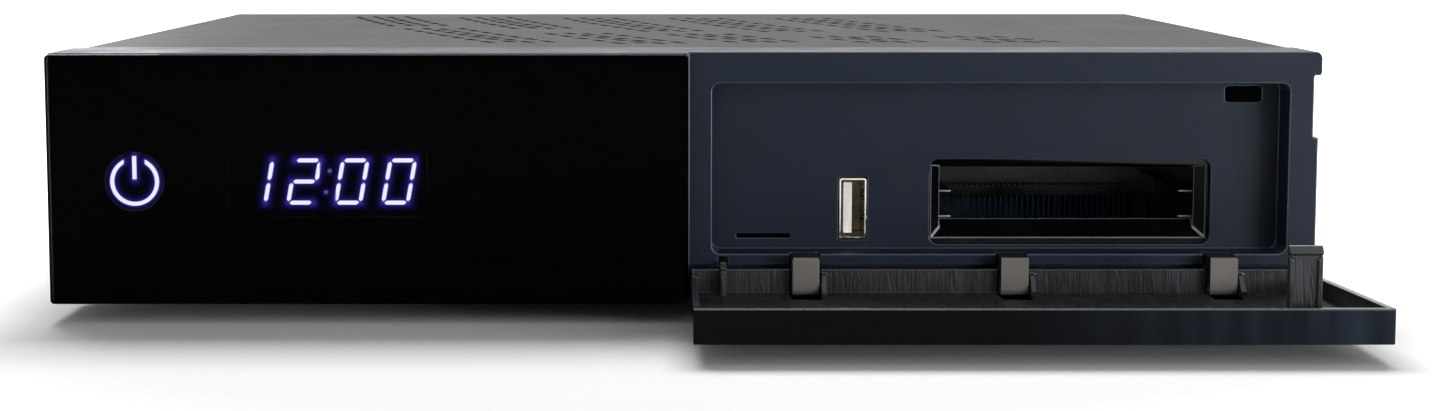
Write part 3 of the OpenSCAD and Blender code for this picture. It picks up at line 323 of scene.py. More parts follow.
def folded_faces(mesh):
    """Middle, normal, low and high corner of each face that a too wide bevel has folded over, so that a triangle of it
    is turned."""
    mesh.calc_loop_triangles()
    points, facing = array_of(mesh.vertices, "co", 3), array_of(mesh.polygons, "normal", 3)
    corners = points[array_of(mesh.loop_triangles, "vertices", 3, np.int32)]
    owner = array_of(mesh.loop_triangles, "polygon_index", 1, np.int32)[:, 0]
    turn = np.cross(corners[:, 1] - corners[:, 0], corners[:, 2] - corners[:, 0])
    wrong = np.unique(owner[((turn * facing[owner]).sum(1) < 0) & (np.linalg.norm(turn, axis=1) > 2e-8)])
    for index in wrong:
        face = points[list(mesh.polygons[int(index)].vertices)]
        yield face.mean(0), facing[index], face.min(0), face.max(0)


def narrowed(piece, share):
    """Cuts the bevel to a share along every edge in the plane and box of a folded face, and says if there was one."""
    mesh = piece.data
    made = piece.evaluated_get(bpy.context.evaluated_depsgraph_get()).to_mesh()
    ends = array_of(mesh.vertices, "co", 3)[array_of(mesh.edges, "vertices", 2, np.int32)]
    weights = array_of(mesh.attributes["bevel_weight_edge"].data, "value", 1)[:, 0]
    near = np.zeros(len(ends), bool)
    for middle, facing, low, high in folded_faces(made):
        level = np.abs((ends - middle) @ facing).max(1) < 0.02 * MM
        near |= level & ((ends > low - MM) & (ends < high + MM)).all((1, 2))
    mesh.attributes["bevel_weight_edge"].data.foreach_set("value", np.where(near, weights * share, weights))
    mesh.update()
    piece.to_mesh_clear()
    return bool((near & (weights > 0)).any())


def dressed(name, nodes, body, slot, materials, width, segments=3, wide=None):
    """A bevelled copy of CAD nodes that stands for them."""
    mesh, most = copy_of_nodes(name, nodes, width, wide)
    piece = new_piece(name, mesh, body, slot, materials, nodes)
    bevel = piece.modifiers.new("Edges", "BEVEL")
    bevel.width = most
    bevel.segments = segments
    bevel.limit_method = "WEIGHT"
    bevel.use_clamp_overlap = False
    bevel.miter_outer = "MITER_ARC"
    for share in NARROWINGS:
        if not narrowed(piece, share):
            break
    return settled(piece)


def parted(piece, *choices):
    """Gives a piece's second, third ... material to the faces for which the first, second ... choice(middle, facing,
    area) is true, in millimetres of the case, and its first to the rest."""
    mesh = piece.data
    middle = (array_of(mesh.polygons, "center", 3) - CASE) / MM
    facing = array_of(mesh.polygons, "normal", 3)
    area = array_of(mesh.polygons, "area", 1)[:, 0] / MM**2
    chosen = np.select([choice(middle, facing, area) for choice in choices], range(1, len(choices) + 1), 0)
    mesh.polygons.foreach_set("material_index", chosen.astype(np.int32))


def rounded(middle, facing, area):
    """The narrow faces of a bevel near the front, which look along no axis: these get the painted highlights."""
    return (np.abs(facing).max(1) < EDGE_FACING) & (area < EDGE_AREA) & (middle[:, 1] < EDGE_Y)


def painted(material, *nodes):
    """Gives CAD nodes that stay a material of their own."""
    for node in nodes:
        NODES[node].data.materials.clear()
        NODES[node].data.materials.append(material)


# ---- materials ----

EVEN = (1, 1, 1)  # grain that is drawn out along no axis


class Nodes:
    """Adds nodes to a tree, each with its inputs and settings."""

    def __init__(self, tree):
        self.tree = tree

    def add(self, kind, inputs=(), **settings):
        node = self.tree.nodes.new(kind)
        for key, value in settings.items():
            setattr(node, key, value)
        for socket, value in dict(inputs).items():
            if isinstance(value, bpy.types.NodeSocket):
                self.tree.links.new(value, node.inputs[socket])
            else:
                node.inputs[socket].default_value = value
        return node

    def math(self, way, *values):
        return self.add("ShaderNodeMath", dict(enumerate(values)), operation=way).outputs[0]

    def ranged(self, value, low, high, from_low=0.32, from_high=0.68):
        """A value carried from one range to another, and held at its ends. The first range is that of most noise."""
        return self.add("ShaderNodeMapRange", {"Value": value, "From Min": from_low, "From Max": from_high,
                                               "To Min": low, "To Max": high}).outputs["Result"]

    def seen(self):
        """1 for a ray that the camera sees, straight, mirrored or through glass, and 0 for one that lights."""
        path = self.add("ShaderNodeLightPath").outputs
        bent = self.math("MAXIMUM", path["Is Glossy Ray"], path["Is Transmission Ray"])
        return self.math("MAXIMUM", path["Is Camera Ray"], bent)


class Finish(Nodes):
    """A Principled material on Object coordinates, to which grain, mottle and sheen are added one by one."""

    def __init__(self, name, tint, roughness, metallic=0.0, specular=0.5, **sockets):
        self.material = bpy.data.materials.new(name)
        self.material.use_nodes = True
        super().__init__(self.material.node_tree)
        self.shader = self.tree.nodes["Principled BSDF"]
        self.tint, self.roughness = tuple(tint), roughness
        levels = {"Base Color": (*tint, 1), "Roughness": roughness, "Metallic": metallic,
                  "Specular IOR Level": specular, **{k.replace("_", " "): v for k, v in sockets.items()}}
        for socket, level in levels.items():
            self.shader.inputs[socket].default_value = level
        self.place = self.add("ShaderNodeTexCoord").outputs["Object"]

    def link(self, output, socket):
        self.tree.links.new(output, self.shader.inputs[socket])
        return self

    def places(self):
        """The three coordinates of a point, in metres."""
        return self.add("ShaderNodeSeparateXYZ", {"Vector": self.place}).outputs

    def noise(self, size, stretch=EVEN, detail=3.0, warp=0.0):
        """Noise with features of a size in millimetres, drawn out along each axis by stretch."""
        scale = [1 / (size * MM * k) for k in stretch]
        place = self.add("ShaderNodeMapping", {"Vector": self.place, "Scale": scale}).outputs["Vector"]
        return self.add("ShaderNodeTexNoise", {"Vector": place, "Scale": 1.0, "Detail": detail,
                                               "Distortion": warp}).outputs["Fac"]

    def blend(self, share, first, second):
        """The first colour where the share is 0 and the second where it is 1."""
        mix = self.add("ShaderNodeMix", {"Factor": share}, data_type="RGBA")
        for socket, value in zip(("A", "B"), (first, second)):
            target = next(s for s in mix.inputs if s.name == socket and s.type == "RGBA")
            if isinstance(value, bpy.types.NodeSocket):
                self.tree.links.new(value, target)
            else:
                target.default_value = (*value, 1)
        return next(s for s in mix.outputs if s.type == "RGBA")

    def bump(self, height, depth):
        """Raises the surface by a height from 0 to 1, to a depth in millimetres, over any bump that is there."""
        inputs = {"Height": height, "Distance": depth * MM, "Strength": 1.0}
        links = self.shader.inputs["Normal"].links
        if links:
            inputs["Normal"] = links[0].from_socket
        return self.link(self.add("ShaderNodeBump", inputs).outputs["Normal"], "Normal")

    def grain(self, size, depth, stretch=EVEN, detail=3.0):
        """Noise of a size as a bump."""
        return self.bump(self.noise(size, stretch, detail), depth)

    def mottle(self, size, amount, stretch=EVEN, detail=3.0):
        """Lightens and darkens the colour by an amount in patches of a size."""
        dark, light = [times(self.tint, 1 + way * amount) for way in (-1, 1)]
        share = self.ranged(self.noise(size, stretch, detail), 0, 1)
        return self.link(self.blend(share, dark, light), "Base Color")

    def sheen(self, size, spread, stretch=EVEN):
        """Varies the roughness by a spread either way in patches of a size."""
        low, high = max(0.02, self.roughness - spread), min(1.0, self.roughness + spread)
        return self.link(self.ranged(self.noise(size, stretch), low, high), "Roughness")


def moulded(name, tint, roughness=0.5, specular=0.25, grain=0.35, depth=0.012):
    """Moulded plastic: fine spark-eroded grain, faint flow marks and handling sheen."""
    return (Finish(name, tint, roughness, specular=specular).grain(grain, depth).grain(6, 0.01)
            .mottle(9, 0.07).sheen(14, 0.07).material)


def lacquered(name, tint, specular=0.3):
    """Textured paint on sheet metal: orange peel with fine pits."""
    return (Finish(name, tint, 0.5, specular=specular).grain(0.55, 0.02).grain(2.4, 0.012)
            .mottle(18, 0.02).sheen(25, 0.02).material)


def plated(name, tint, roughness=0.28, along=(1, 12, 1)):
    """Plated or drawn metal: fine lines along the sheet, cloudy sheen."""
    return (Finish(name, tint, roughness, metallic=1.0).grain(0.12, 0.0012, along).mottle(3, 0.08)
            .sheen(1.5, 0.09, along).material)


def circuit_board(name, tint):
    """Lacquered board: copper lanes under the lacquer, pads, and a fine weave of glass."""
    finish = Finish(name, tint, 0.38, specular=0.5)
    cells = finish.add("ShaderNodeTexVoronoi", {"Vector": finish.place, "Scale": 260.0}, distance="MANHATTAN")
    lane = finish.ranged(cells.outputs["Distance"], 0, 1, 0.42, 0.46)
    tone = finish.blend(lane, tint, tuple(min(1, c * 1.7 + 0.01) for c in tint))
    finish.link(tone, "Base Color")
    return finish.bump(lane, 0.03).grain(0.6, 0.006).sheen(8, 0.08).material


def chip_epoxy(name, tint):
    """Black moulding compound: matte, pitted, with a paler haze."""
    return Finish(name, tint, 0.62, specular=0.35).grain(0.18, 0.01).mottle(2.5, 0.15).sheen(4, 0.08).material


# ---- the cover ----

VENT_REAR = [192, 187.5, 183, 182, 182]  # where each band of vents ends at the rear
VENT_BREAK = [122, 105, 94, 88, 89]  # and the middle of the break in it
VENT_FRONT = 41.0
VENT_BREAK_HALF = 7.0
VENT_PITCH = 10.4  # from slot to slot along a band
BAND_PITCH = 30.3
BAND_LEFT = 88.0
COLUMN_PITCH = 4.6
COLUMNS = 4
BAND_LEAN = 0.25
BAND_CURVE = 0.0007
REAR_LIP = 8.0  # height of the cover's lip over the rear panel
HOLE_DROP = 4.0  # from the top down to the middle of its screw holes
HOLE_RADIUS = 1.6
HOLE_X = (-90, 0, 90)
SIDE_LINES, REAR_LINES = 7, 5  # lines along each bend


def slot_places():
    """Middle and lean of each vent slot, n by 3. A band's line runs forward and to the right:
    x = band pitch * b - left + lean * run + curve * run * run, with run counted forward from the band's rear end."""
    rows = []
    for b, (rear, gap) in enumerate(zip(VENT_REAR, VENT_BREAK)):
        run = (np.arange((rear - VENT_FRONT) // VENT_PITCH) + 0.5) * VENT_PITCH
        run = run[np.abs(rear - run - gap) > VENT_BREAK_HALF]
        column = np.arange(COLUMNS)[None, :]
        middle = b * BAND_PITCH - BAND_LEFT + BAND_LEAN * run + BAND_CURVE * run**2
        x = middle[:, None] + (column - (COLUMNS - 1) / 2) * COLUMN_PITCH
        y = (rear - run)[:, None] + (column % 2) * VENT_PITCH / 4
        lean = np.broadcast_to((BAND_LEAN + 2 * BAND_CURVE * run)[:, None], x.shape)
        rows.append(np.stack([x, y, lean], axis=-1).reshape(-1, 3))
    return np.concatenate(rows)


def slot_outlines(places, width, reach, steps=5):
    """Outline of each slot, n by m by 2: two half circles joined by straight sides, sheared by the band's lean."""
    t = np.linspace(0, math.pi, steps + 1)
    half, straight = width / 2, (reach - width) / 2
    x = half * np.concatenate([np.cos(t), -np.cos(t)])
    y = np.concatenate([straight + half * np.sin(t), -straight - half * np.sin(t)])
    return np.stack([places[:, :1] + x - places[:, 2:] * y, places[:, 1:2] + y], axis=-1)


def bend(run, radius):
    """Way ahead and drop of a sheet that is bent down a quarter turn of a radius at run 0:
    ahead = r sin(run / r) and drop = r (1 - cos(run / r)) over the quarter turn, then straight down."""
    turn = np.clip(run / radius, 0, math.pi / 2)
    beyond = np.maximum(run - radius * math.pi / 2, 0)
    return np.minimum(run, 0) + radius * np.sin(turn), radius * (1 - np.cos(turn)) + beyond


def folded(blank, half, side_bend, rear_y, rear_bend, top):
    """The cover's flat blank folded: across it s bends down past the flat's half width on either side,
    and along it y bends down past the rear fold. x = sign(s) (flat + ahead(|s| - flat)), z = top - both drops."""
    flat, fold = half - side_bend, rear_y - rear_bend
    ahead, drop = bend(np.abs(blank[:, 0]) - flat, side_bend)
    back, fall = bend(blank[:, 1] - fold, rear_bend)
    return np.stack([np.sign(blank[:, 0]) * (flat + ahead), fold + back, top - drop - fall], axis=1)


def cover_mesh(sizes):
    """The cover's sheet: its flat blank, with slots and screw holes cut out and lines along the bends, is folded."""
    low, top = span("top_cover", 2)
    half = span("top_cover", 0)[1]
    front, rear = span("top_cover", 1)
    side_bend, rear_bend = sizes.cover_bend / MM, sizes.rear_bend / MM
    flat, fold = half - side_bend, rear - rear_bend
    side_turn, rear_turn = side_bend * math.pi / 2, rear_bend * math.pi / 2
    edge = flat + side_turn + (top - side_bend - low)
    tail = fold + rear_turn + (REAR_LIP - rear_bend)
    right = [(edge, front), (edge, fold), (flat, fold), (flat, tail)]
    outline = [(-edge, front), *right, (-flat, tail), (-flat, fold), (-edge, fold)]
    slots = slot_outlines(slot_places(), sizes.slot_width / MM, sizes.slot_length / MM)
    turn = angles(16)
    hole = np.stack([HOLE_RADIUS * np.cos(turn), HOLE_RADIUS * np.sin(turn)], axis=1)
    hole_y = fold + rear_turn + (HOLE_DROP - rear_bend)
    loops = [outline, *slots.tolist(), *[(hole + (x, hole_y)).tolist() for x in HOLE_X]]
    lines = [((side * s, front), (side * s, fold)) for side in (-1, 1)
             for s in flat + side_turn * np.linspace(0, 1, SIDE_LINES)]
    lines += [((-flat, y), (flat, y)) for y in fold + rear_turn * np.linspace(0, 1, REAR_LINES)]
    points, groups = [], []
    for group in loops + lines:
        groups.append(list(range(len(points), len(points) + len(group))))
        points += group
    made = delaunay_2d_cdt([Vector(p) for p in points], groups[len(loops):], groups[:len(loops)], 1, 1e-5)
    blank = np.array([tuple(v) for v in made[0]])
    kept = [face for face, source in zip(made[2], made[5]) if source == [0]]  # in the outline and in no hole
    return mesh_of("top_cover_folded", folded(blank, half, side_bend, rear, rear_bend, top), kept, closed=False)


def turned_up(mesh):
    """Turns an open sheet's faces so that they look away from the middle of the case."""
    with edited(mesh) as shape:
        bmesh.ops.recalc_face_normals(shape, faces=shape.faces)
        top = max(shape.faces, key=lambda face: face.calc_center_median().z)
        if top.normal.z < 0:
            bmesh.ops.reverse_faces(shape, faces=shape.faces)


class RECEIVER_OT_cover(bpy.types.Operator):
    """Folds the painted cover with its bands of vent slots"""
    bl_idname = "receiver.cover"
    bl_label = "Cover"

    def execute(self, context):
        sizes, colours = context.scene.receiver_sizes, context.scene.receiver_colours
        mesh = cover_mesh(sizes)
        turned_up(mesh)
        paint = lacquered("cover_paint", colours.cover, 0.14)
        cover = new_piece("cover_sheet", mesh, "case", "cover_paint", [paint], ["top_cover"])
        sheet = cover.modifiers.new("Sheet", "SOLIDIFY")
        sheet.thickness = sizes.cover_thickness
        sheet.offset = -1
        sheet.use_even_offset = True
        rim = cover.modifiers.new("Edges", "BEVEL")
        rim.width = sizes.sheet_edge
        rim.segments = 1
        rim.limit_method = "ANGLE"
        rim.angle_limit = math.radians(50)
        settled(cover, 40)
        return {"FINISHED"}


# ---- front, window and clock ----

PANEL_Y = 15.2  # the panel at the back of the recess
RECESS_X = (5.1, 127.9)
RECESS_Z = (10.0, 46.5)
NEAR = 0.1
FILLET = 1.2 * MM
NOTCH = (134.0, 48.0, 50.0)  # least x, and the band of heights, of the lip's lower edge over the finger notch
FRONT_TOP_Z = 52.8  # the front's top face and the round before it lie above this, and get a lighter painted highlight


def front_edges(ends):
    """Wider rounds: the recess's walls run into the panel in a fillet, and the lip over the finger notch turns back."""
    x, y, z = ends.T
    (left, right), (foot, head) = RECESS_X, RECESS_Z
    within = left - NEAR < x.min() and x.max() < right + NEAR and foot - NEAR < z.min() and z.max() < head + NEAR
    if within and np.abs(y - PANEL_Y).max() < NEAR / 2:
        at_wall = x.min() > right - NEAR or x.max() < left + NEAR or z.min() > head - NEAR
        return FILLET if at_wall else None
    if x.min() > NOTCH[0] and NOTCH[1] < z.min() and z.max() < NOTCH[2]:
        return FILLET
    return None


class RECEIVER_OT_front(bpy.types.Operator):
    """Dresses the moulded front, the recess and the gloss window"""
    bl_idname = "receiver.front"
    bl_label = "Front and window"

    def execute(self, context):
        sizes, colours = context.scene.receiver_sizes, context.scene.receiver_colours
        front = moulded("front_plastic", colours.front, roughness=0.42, specular=0.12)
        # painted highlight: the front's top face gets a copy of the front's colour made 1.5 times lighter
        top = moulded("front_top_painted_highlight", times(colours.front, 1.5), roughness=0.4, specular=0.22, depth=0.002)
        # painted highlight: the narrow rounds near the front get the front's colour made 2.2 times lighter and glossier
        edges = moulded("front_edges", times(colours.front, 2.2), roughness=0.3, specular=0.6, depth=0.004)
        moulding = dressed("front_moulding", ["fascia"], "case", "fascia_plastic", [front, top, edges],
                           sizes.edge_round, wide=front_edges)
        # the top faces get the lighter painted highlight, and the rounds the painted edge highlight
        parted(moulding, lambda middle, facing, area: (facing[:, 2] > 0.5) & (middle[:, 2] > FRONT_TOP_Z), rounded)
        window = Finish("window_gloss", colours.tinted, 0.015, specular=0.5, IOR=1.07, Transmission_Weight=1.0)
        window.mottle(40, 0.04)
        dressed("window_pane", ["front_window"], "case", "window_gloss", [window.material], sizes.edge_round * 1.5)
        return {"FINISHED"}


CLOCK = (-76.3, 26.0)  # middle of the clock, x and z
DIGIT = (5.2, 9.0)
DIGIT_PITCH = 10.05
BAR_HALF = 0.35  # half of a lit bar's width
LEAN = math.tan(math.radians(10.5))
# bars of one figure by their two ends, in halves of its width and height: top, two right, bottom, two left, middle
BARS = np.array([[(-1, 1), (1, 1)], [(1, 0), (1, 1)], [(1, -1), (1, 0)], [(-1, -1), (1, -1)],
                 [(-1, -1), (-1, 0)], [(-1, 0), (-1, 1)], [(-1, 0), (1, 0)]], float)
FIGURES = [[1, 2], [0, 1, 3, 4, 6], [0, 1, 2, 3, 4, 5], [0, 1, 2, 3, 4, 5]]  # the lit bars of each figure
COLON_HALF = (1.5, 1.8)  # way from the clock's middle over which the dots' light gives way to the figures'
DOT_LIGHT = 0.3  # the dots' light, and below the light around them, as shares of the bars'
DOT_GLOW = 0.35
LIT_Y = (3.54, 3.56)  # the bars shine in front of this, and not on their sides
CLOCK_SHEET = (41.6, 14.6)
CLOCK_GRID = (251, 89)
STANDBY_X = -117.2
STANDBY_R = 5.15
STANDBY_STROKE = 0.8
STANDBY_OPEN = 2.266  # half of the ring's gap at the top
STANDBY_BAR = (0.1, 1.05)  # ends of the bar in the gap, as shares of the ring's radius
RING_SHEET = 7.0  # radius of the sheet behind the standby mark
RING_GRID = (41, 96)
FADE = 1.5  # way from a sheet's border over which its light comes up
GLOW_Y = 3.56
FILM = 0.02  # thickness of the sheets


def lit_bars():
    """Ends of the clock's lit bars and dots in x and z of the case, n by 2 by 2, and each one's share of the light."""
    half = np.array(DIGIT) / 2
    bars = [BARS[lit] * half + [(i - 1.5) * DIGIT_PITCH, 0] for i, lit in enumerate(FIGURES)]
    dots = [np.array([[[0.0, z], [0.0, z]]]) for z in (-DIGIT[1] / 4, DIGIT[1] / 4)]
    flat = np.concatenate(bars + dots)
    flat[..., 0] += LEAN * flat[..., 1]
    return flat + CLOCK, np.array([1.0] * (len(flat) - len(dots)) + [DOT_GLOW] * len(dots))


def glow_round(distance, reach):
    """Light at a distance from a lit edge: e to the power of minus distance over reach."""
    return np.exp(-np.maximum(distance, 0) / reach)


def clock_glow(x, z, bars, share, reach):
    """Light of the bars at points of the display: the brightest of exp(-d / reach), where d is a point's distance from
    a bar's edge, |p - a - clip(t) (b - a)| less half a bar's width, and t is p's share of the way along the bar."""
    a, along = bars[:, 0], bars[:, 1] - bars[:, 0]
    size = np.maximum((along**2).sum(-1), 1e-9)
    p = np.stack([x, z], axis=-1)[..., None, :]
    t = np.clip(((p - a) * along).sum(-1) / size, 0, 1)
    distance = np.linalg.norm(p - a - t[..., None] * along, axis=-1) - BAR_HALF
    return (glow_round(distance, reach) * share).max(-1)


def ring_glow(x, z, reach):
    """Light of the standby mark: exp(-d / reach), with d the distance from the open ring or from the bar in its gap."""
    radius, middle = np.hypot(x, z), STANDBY_R - STANDBY_STROKE / 2
    ring = np.abs(radius - middle)
    end_x, end_z = STANDBY_OPEN + 0.1, math.sqrt(middle**2 - STANDBY_OPEN**2)
    gap = (np.abs(x) < STANDBY_OPEN) & (z > 0)
    ring = np.where(gap, np.hypot(np.abs(x) - end_x, z - end_z), ring)
    bar = np.hypot(x, z - np.clip(z, *[STANDBY_R * share for share in STANDBY_BAR]))
    return glow_round(np.minimum(ring, bar) - STANDBY_STROKE / 2, reach)


def glow_sheet(name, x, z, level, material, wrap=False):
    """A thin black sheet behind the lit bars, from a grid of x and z, with its light as a point attribute."""
    points, faces = surface(np.stack([x, np.full(x.shape, GLOW_Y), z], axis=-1), wrap_columns=wrap)
    mesh = bpy.data.meshes.new(name)
    mesh.from_pydata((points * MM + CASE).tolist(), [], faces.tolist())
    glow = mesh.attributes.new("glow", "FLOAT", "POINT")
    glow.data.foreach_set("value", level.astype(np.float32).ravel())
    with edited(mesh) as shape:
        bmesh.ops.remove_doubles(shape, verts=shape.verts, dist=DOUBLES)
        shape.normal_update()
        if next(iter(shape.faces)).normal.y > 0:
            bmesh.ops.reverse_faces(shape, faces=shape.faces)
    sheet = new_piece(name, mesh, "case", "lit_segment", [material])
    film = sheet.modifiers.new("Film", "SOLIDIFY")
    film.thickness = FILM * MM
    film.offset = -1


class RECEIVER_OT_clock(bpy.types.Operator):
    """Lights the clock's bars and the standby mark, with the glow round them"""
    bl_idname = "receiver.clock"
    bl_label = "Clock and standby light"

    def execute(self, context):
        sizes, colours = context.scene.receiver_sizes, context.scene.receiver_colours
        lit = Finish("lit_bars", linear(20, 20, 24), 0.4, Emission_Color=(*colours.lit, 1))
        x, y, z = lit.places()
        front = lit.ranged(y, 1, 0, *[CASE[1] + at * MM for at in LIT_Y])
        aside = lit.math("ABSOLUTE", lit.math("SUBTRACT", x, CLOCK[0] * MM))
        figures, dim = [lit.ranged(aside, least, 1, *[at * MM for at in COLON_HALF]) for least in (0, DOT_LIGHT)]
        lit.link(lit.blend(figures, colours.dots, colours.lit), "Emission Color")
        lit.link(lit.math("MULTIPLY", lit.math("MULTIPLY", front, dim), sizes.lamp_strength), "Emission Strength")
        painted(lit.material, "display_segments", "standby_light")

        film = Finish("display_film", linear(9, 9, 10), 0.6, specular=0.1, Emission_Color=(*colours.glow, 1))
        level = film.add("ShaderNodeAttribute", attribute_name="glow").outputs["Fac"]
        film.link(film.math("MULTIPLY", level, sizes.lamp_strength * sizes.glow_share), "Emission Strength")
        reach = sizes.glow_reach / MM
        x, z = np.meshgrid(*[np.linspace(-0.5, 0.5, count) * size + middle
                             for count, size, middle in zip(CLOCK_GRID, CLOCK_SHEET, CLOCK)])
        border = np.minimum(CLOCK_SHEET[0] / 2 - np.abs(x - CLOCK[0]), CLOCK_SHEET[1] / 2 - np.abs(z - CLOCK[1]))
        level = clock_glow(x, z, *lit_bars(), reach) * np.clip(border / FADE, 0, 1)
        glow_sheet("clock_film", x, z, level, film.material)
        r, a = np.meshgrid(np.linspace(0, RING_SHEET, RING_GRID[0]), angles(RING_GRID[1]), indexing="ij")
        x, z = r * np.sin(a), r * np.cos(a)
        level = ring_glow(x, z, reach) * np.clip((RING_SHEET - r) / FADE, 0, 1)
        glow_sheet("standby_film", x + STANDBY_X, z + CLOCK[1], level, film.material, wrap=True)
        return {"FINISHED"}


# ---- flap ----

FLAP_INSIDE_X = (1.85, 133.65)
FLAP_INSIDE_Y = -45.05
FLAP_FLOOR = 1.85
FLAP_RIM_Z = 4.5
PAINTED_REFLECTION_X = (60.0, 132.0)  # places along the flap between which a painted reflection rises on its lacquer
PAINTED_REFLECTION_DEPTH = (0.05, 0.4)  # way behind the flap's front edge over which the painted reflection ends
SIDES = ("left", "middle", "right")
CLAW_X = [sum(span(f"hinge_claw_{side}", 0)) / 2 for side in SIDES]
CLAW_HALF = 2.9
RIB_REACH = 2.2  # width of the rib to the right of each claw
RIB_Y = -10.0
SLOPED = 0.2  # a face that looks along an axis by more than this counts as looking that way
CLAW_FACING = -0.3  # a claw's faces that look forward more than this are pale, and the rest but the foot get painted shade


def inside_flap(middle, facing, area):
    """The floor of the flap's tray and all that stands on it."""
    x, y, z = middle.T
    return (x > FLAP_INSIDE_X[0]) & (x < FLAP_INSIDE_X[1]) & (y > FLAP_INSIDE_Y) & (z > FLAP_FLOOR)


def rim_edge(middle, facing, area):
    """The top of the flap's rim and the rounds beside it, and the sloped fronts of the ribs beside the claws, which get
    a lighter painted highlight.
    """
    x, y, z = middle.T
    rim = (facing[:, 2] > SLOPED) & (z > FLAP_RIM_Z)
    ribs = [(x > at + CLAW_HALF) & (x < at + CLAW_HALF + RIB_REACH) for at in CLAW_X]
    return rim | (np.any(ribs, axis=0) & (facing[:, 1] < -SLOPED) & (y > RIB_Y) & (z > FLAP_FLOOR))


def claw_painted_shade(middle, facing, area):
    """All of a claw but its front, with the rounds beside it, and its foot: the faces that get painted shade."""
    foot = (facing[:, 2] < -SLOPED) & (facing[:, 1] < SLOPED)
    return (facing[:, 1] > CLAW_FACING) & ~foot


class RECEIVER_OT_flap(bpy.types.Operator):
    """Dresses the open flap and its three hinge claws"""
    bl_idname = "receiver.flap"
    bl_label = "Flap and claws"

    def execute(self, context):
        sizes, colours = context.scene.receiver_sizes, context.scene.receiver_colours
        gloss = Finish("flap_gloss", colours.gloss, 0.05, specular=0.5, IOR=1.13).sheen(25, 0.03)
        x, y, z = gloss.places()
        # painted reflection: towards the flap's right end, in streaks, its front face turns from the gloss colour to a
        # paler bluish one
        painted_reflection = gloss.math("MULTIPLY", gloss.ranged(x, 0, 1, *[at * MM for at in PAINTED_REFLECTION_X]),
                          gloss.ranged(gloss.noise(5, (1, 1, 9)), 0.35, 1.0))
        edge_y = CASE[1] + span("flap_door", 1)[0] * MM
        painted_reflection = gloss.math("MULTIPLY", painted_reflection, gloss.ranged(y, 1, 0, *[edge_y + depth * MM for depth in PAINTED_REFLECTION_DEPTH]))
        gloss.link(gloss.blend(painted_reflection, colours.gloss, colours.painted_reflection), "Base Color")
        inside = Finish("flap_inside", colours.inside, 0.5, specular=0.3)
        inside.grain(0.5, 0.03).bump(inside.noise(1.1, (1, 4, 9), detail=4.0, warp=1.5), 0.35)
        streaks = inside.ranged(inside.noise(1.6, (1, 3, 7), detail=4.0, warp=0.8), 0, 1, 0.42, 0.62)
        dark, light = [times(colours.inside, share) for share in (0.55, 1.9)]
        inside.link(inside.blend(streaks, dark, light), "Base Color")
        # the unlacquered plastic of the flap's inside on the rim's top and the ribs' fronts, made 1.6 times lighter and
        # glossier as a painted highlight
        edge = moulded("flap_edge_painted_highlight", times(colours.inside, 1.6), roughness=0.22, specular=0.6, grain=0.6, depth=0.004)
        flap = dressed("flap_shell", ["flap_door"], "flap", "flap_gloss", [gloss.material, inside.material, edge],
                       sizes.edge_round)
        parted(flap, lambda *faces: inside_flap(*faces) & ~rim_edge(*faces), rim_edge)
        claws = moulded("claw_plastic", colours.claws, roughness=0.5, specular=0.3)
        # painted shade: all of each claw but its front and foot takes the dark colour of the flap's inside
        claw_shade = moulded("claw_painted_shade", colours.inside, roughness=0.5, specular=0.2)
        for side in SIDES:
            claw = dressed(f"claw_{side}", [f"hinge_claw_{side}"], "case", "claw_plastic", [claws, claw_shade],
                           sizes.edge_round * 2.2)
            parted(claw, claw_painted_shade)
        return {"FINISHED"}


# ---- screws, feet and aerial connectors ----

def turned(profile, columns=40, around="y"):
    """A profile of (place along the axis, radius) carried round the axis: (r sin a, t, r cos a) for an axis along y and
    (r sin a, r cos a, t) for one along z."""
    t, r = np.array(profile, float).T[:, :, None]
    points = round_y(r, t, angles(columns))
    return points if around == "y" else points[..., [0, 2, 1]]


TIP = 0.4  # length of a screw's chamfered tip


def screw(head_r, head_h, shank_r, shank_l, columns=48):
    """A pan-head screw along y with its head's underside at 0. The head's rows run out from the middle of its crown,
    whose height is h (1 - 0.35 (r / R)^4), less a cross-shaped recess: a depth of 0.62 h that falls off smoothly past
    half a blade's width, 0.16 R, on either side of both axes, and towards the blade's end at 0.66 R. The rows then run
    down the rim, in under the head and down the shank."""
    r = np.array([0, 0.12, 0.24, 0.36, 0.5, 0.64, 0.8, 0.92, 1.0])[:, None] ** 0.9
    a = angles(columns)
    sides = np.abs([r * np.sin(a), r * np.cos(a)])
    across, along = sides.min(0), sides.max(0)
    blade = np.clip(1.6 - across / 0.16, 0, 1) * np.clip((0.66 - along) / 0.12, 0, 1)
    head = round_y(r * head_r, head_h * (1 - 0.35 * r**4 - 0.62 * blade), a)
    under = turned([(0.12 * head_h, head_r), (0, 0.94 * head_r), (0, shank_r), (TIP - shank_l, shank_r),
                    (-shank_l, 0.4 * shank_r), (-shank_l, 0)], columns)
    return surface(np.concatenate([head, under]), wrap_columns=True)


def placed(part, place, head):
    """A screw or other small part along y, moved to a place, its +y turned to +y, +z or -z."""
    points, faces = part
    x, y, z = points.T
    ways = {"y": (x, y, z), "z": (x, -z, y), "-z": (x, z, -y)}
    return np.stack(ways[head], axis=-1) + place, faces


MOUTH = 0.25  # chamfer of a connector's bore
NUT_CHAMFER = (1.03, 0.3)  # radius where a nut's chamfer ends, as a share of its flats', and the chamfer's height


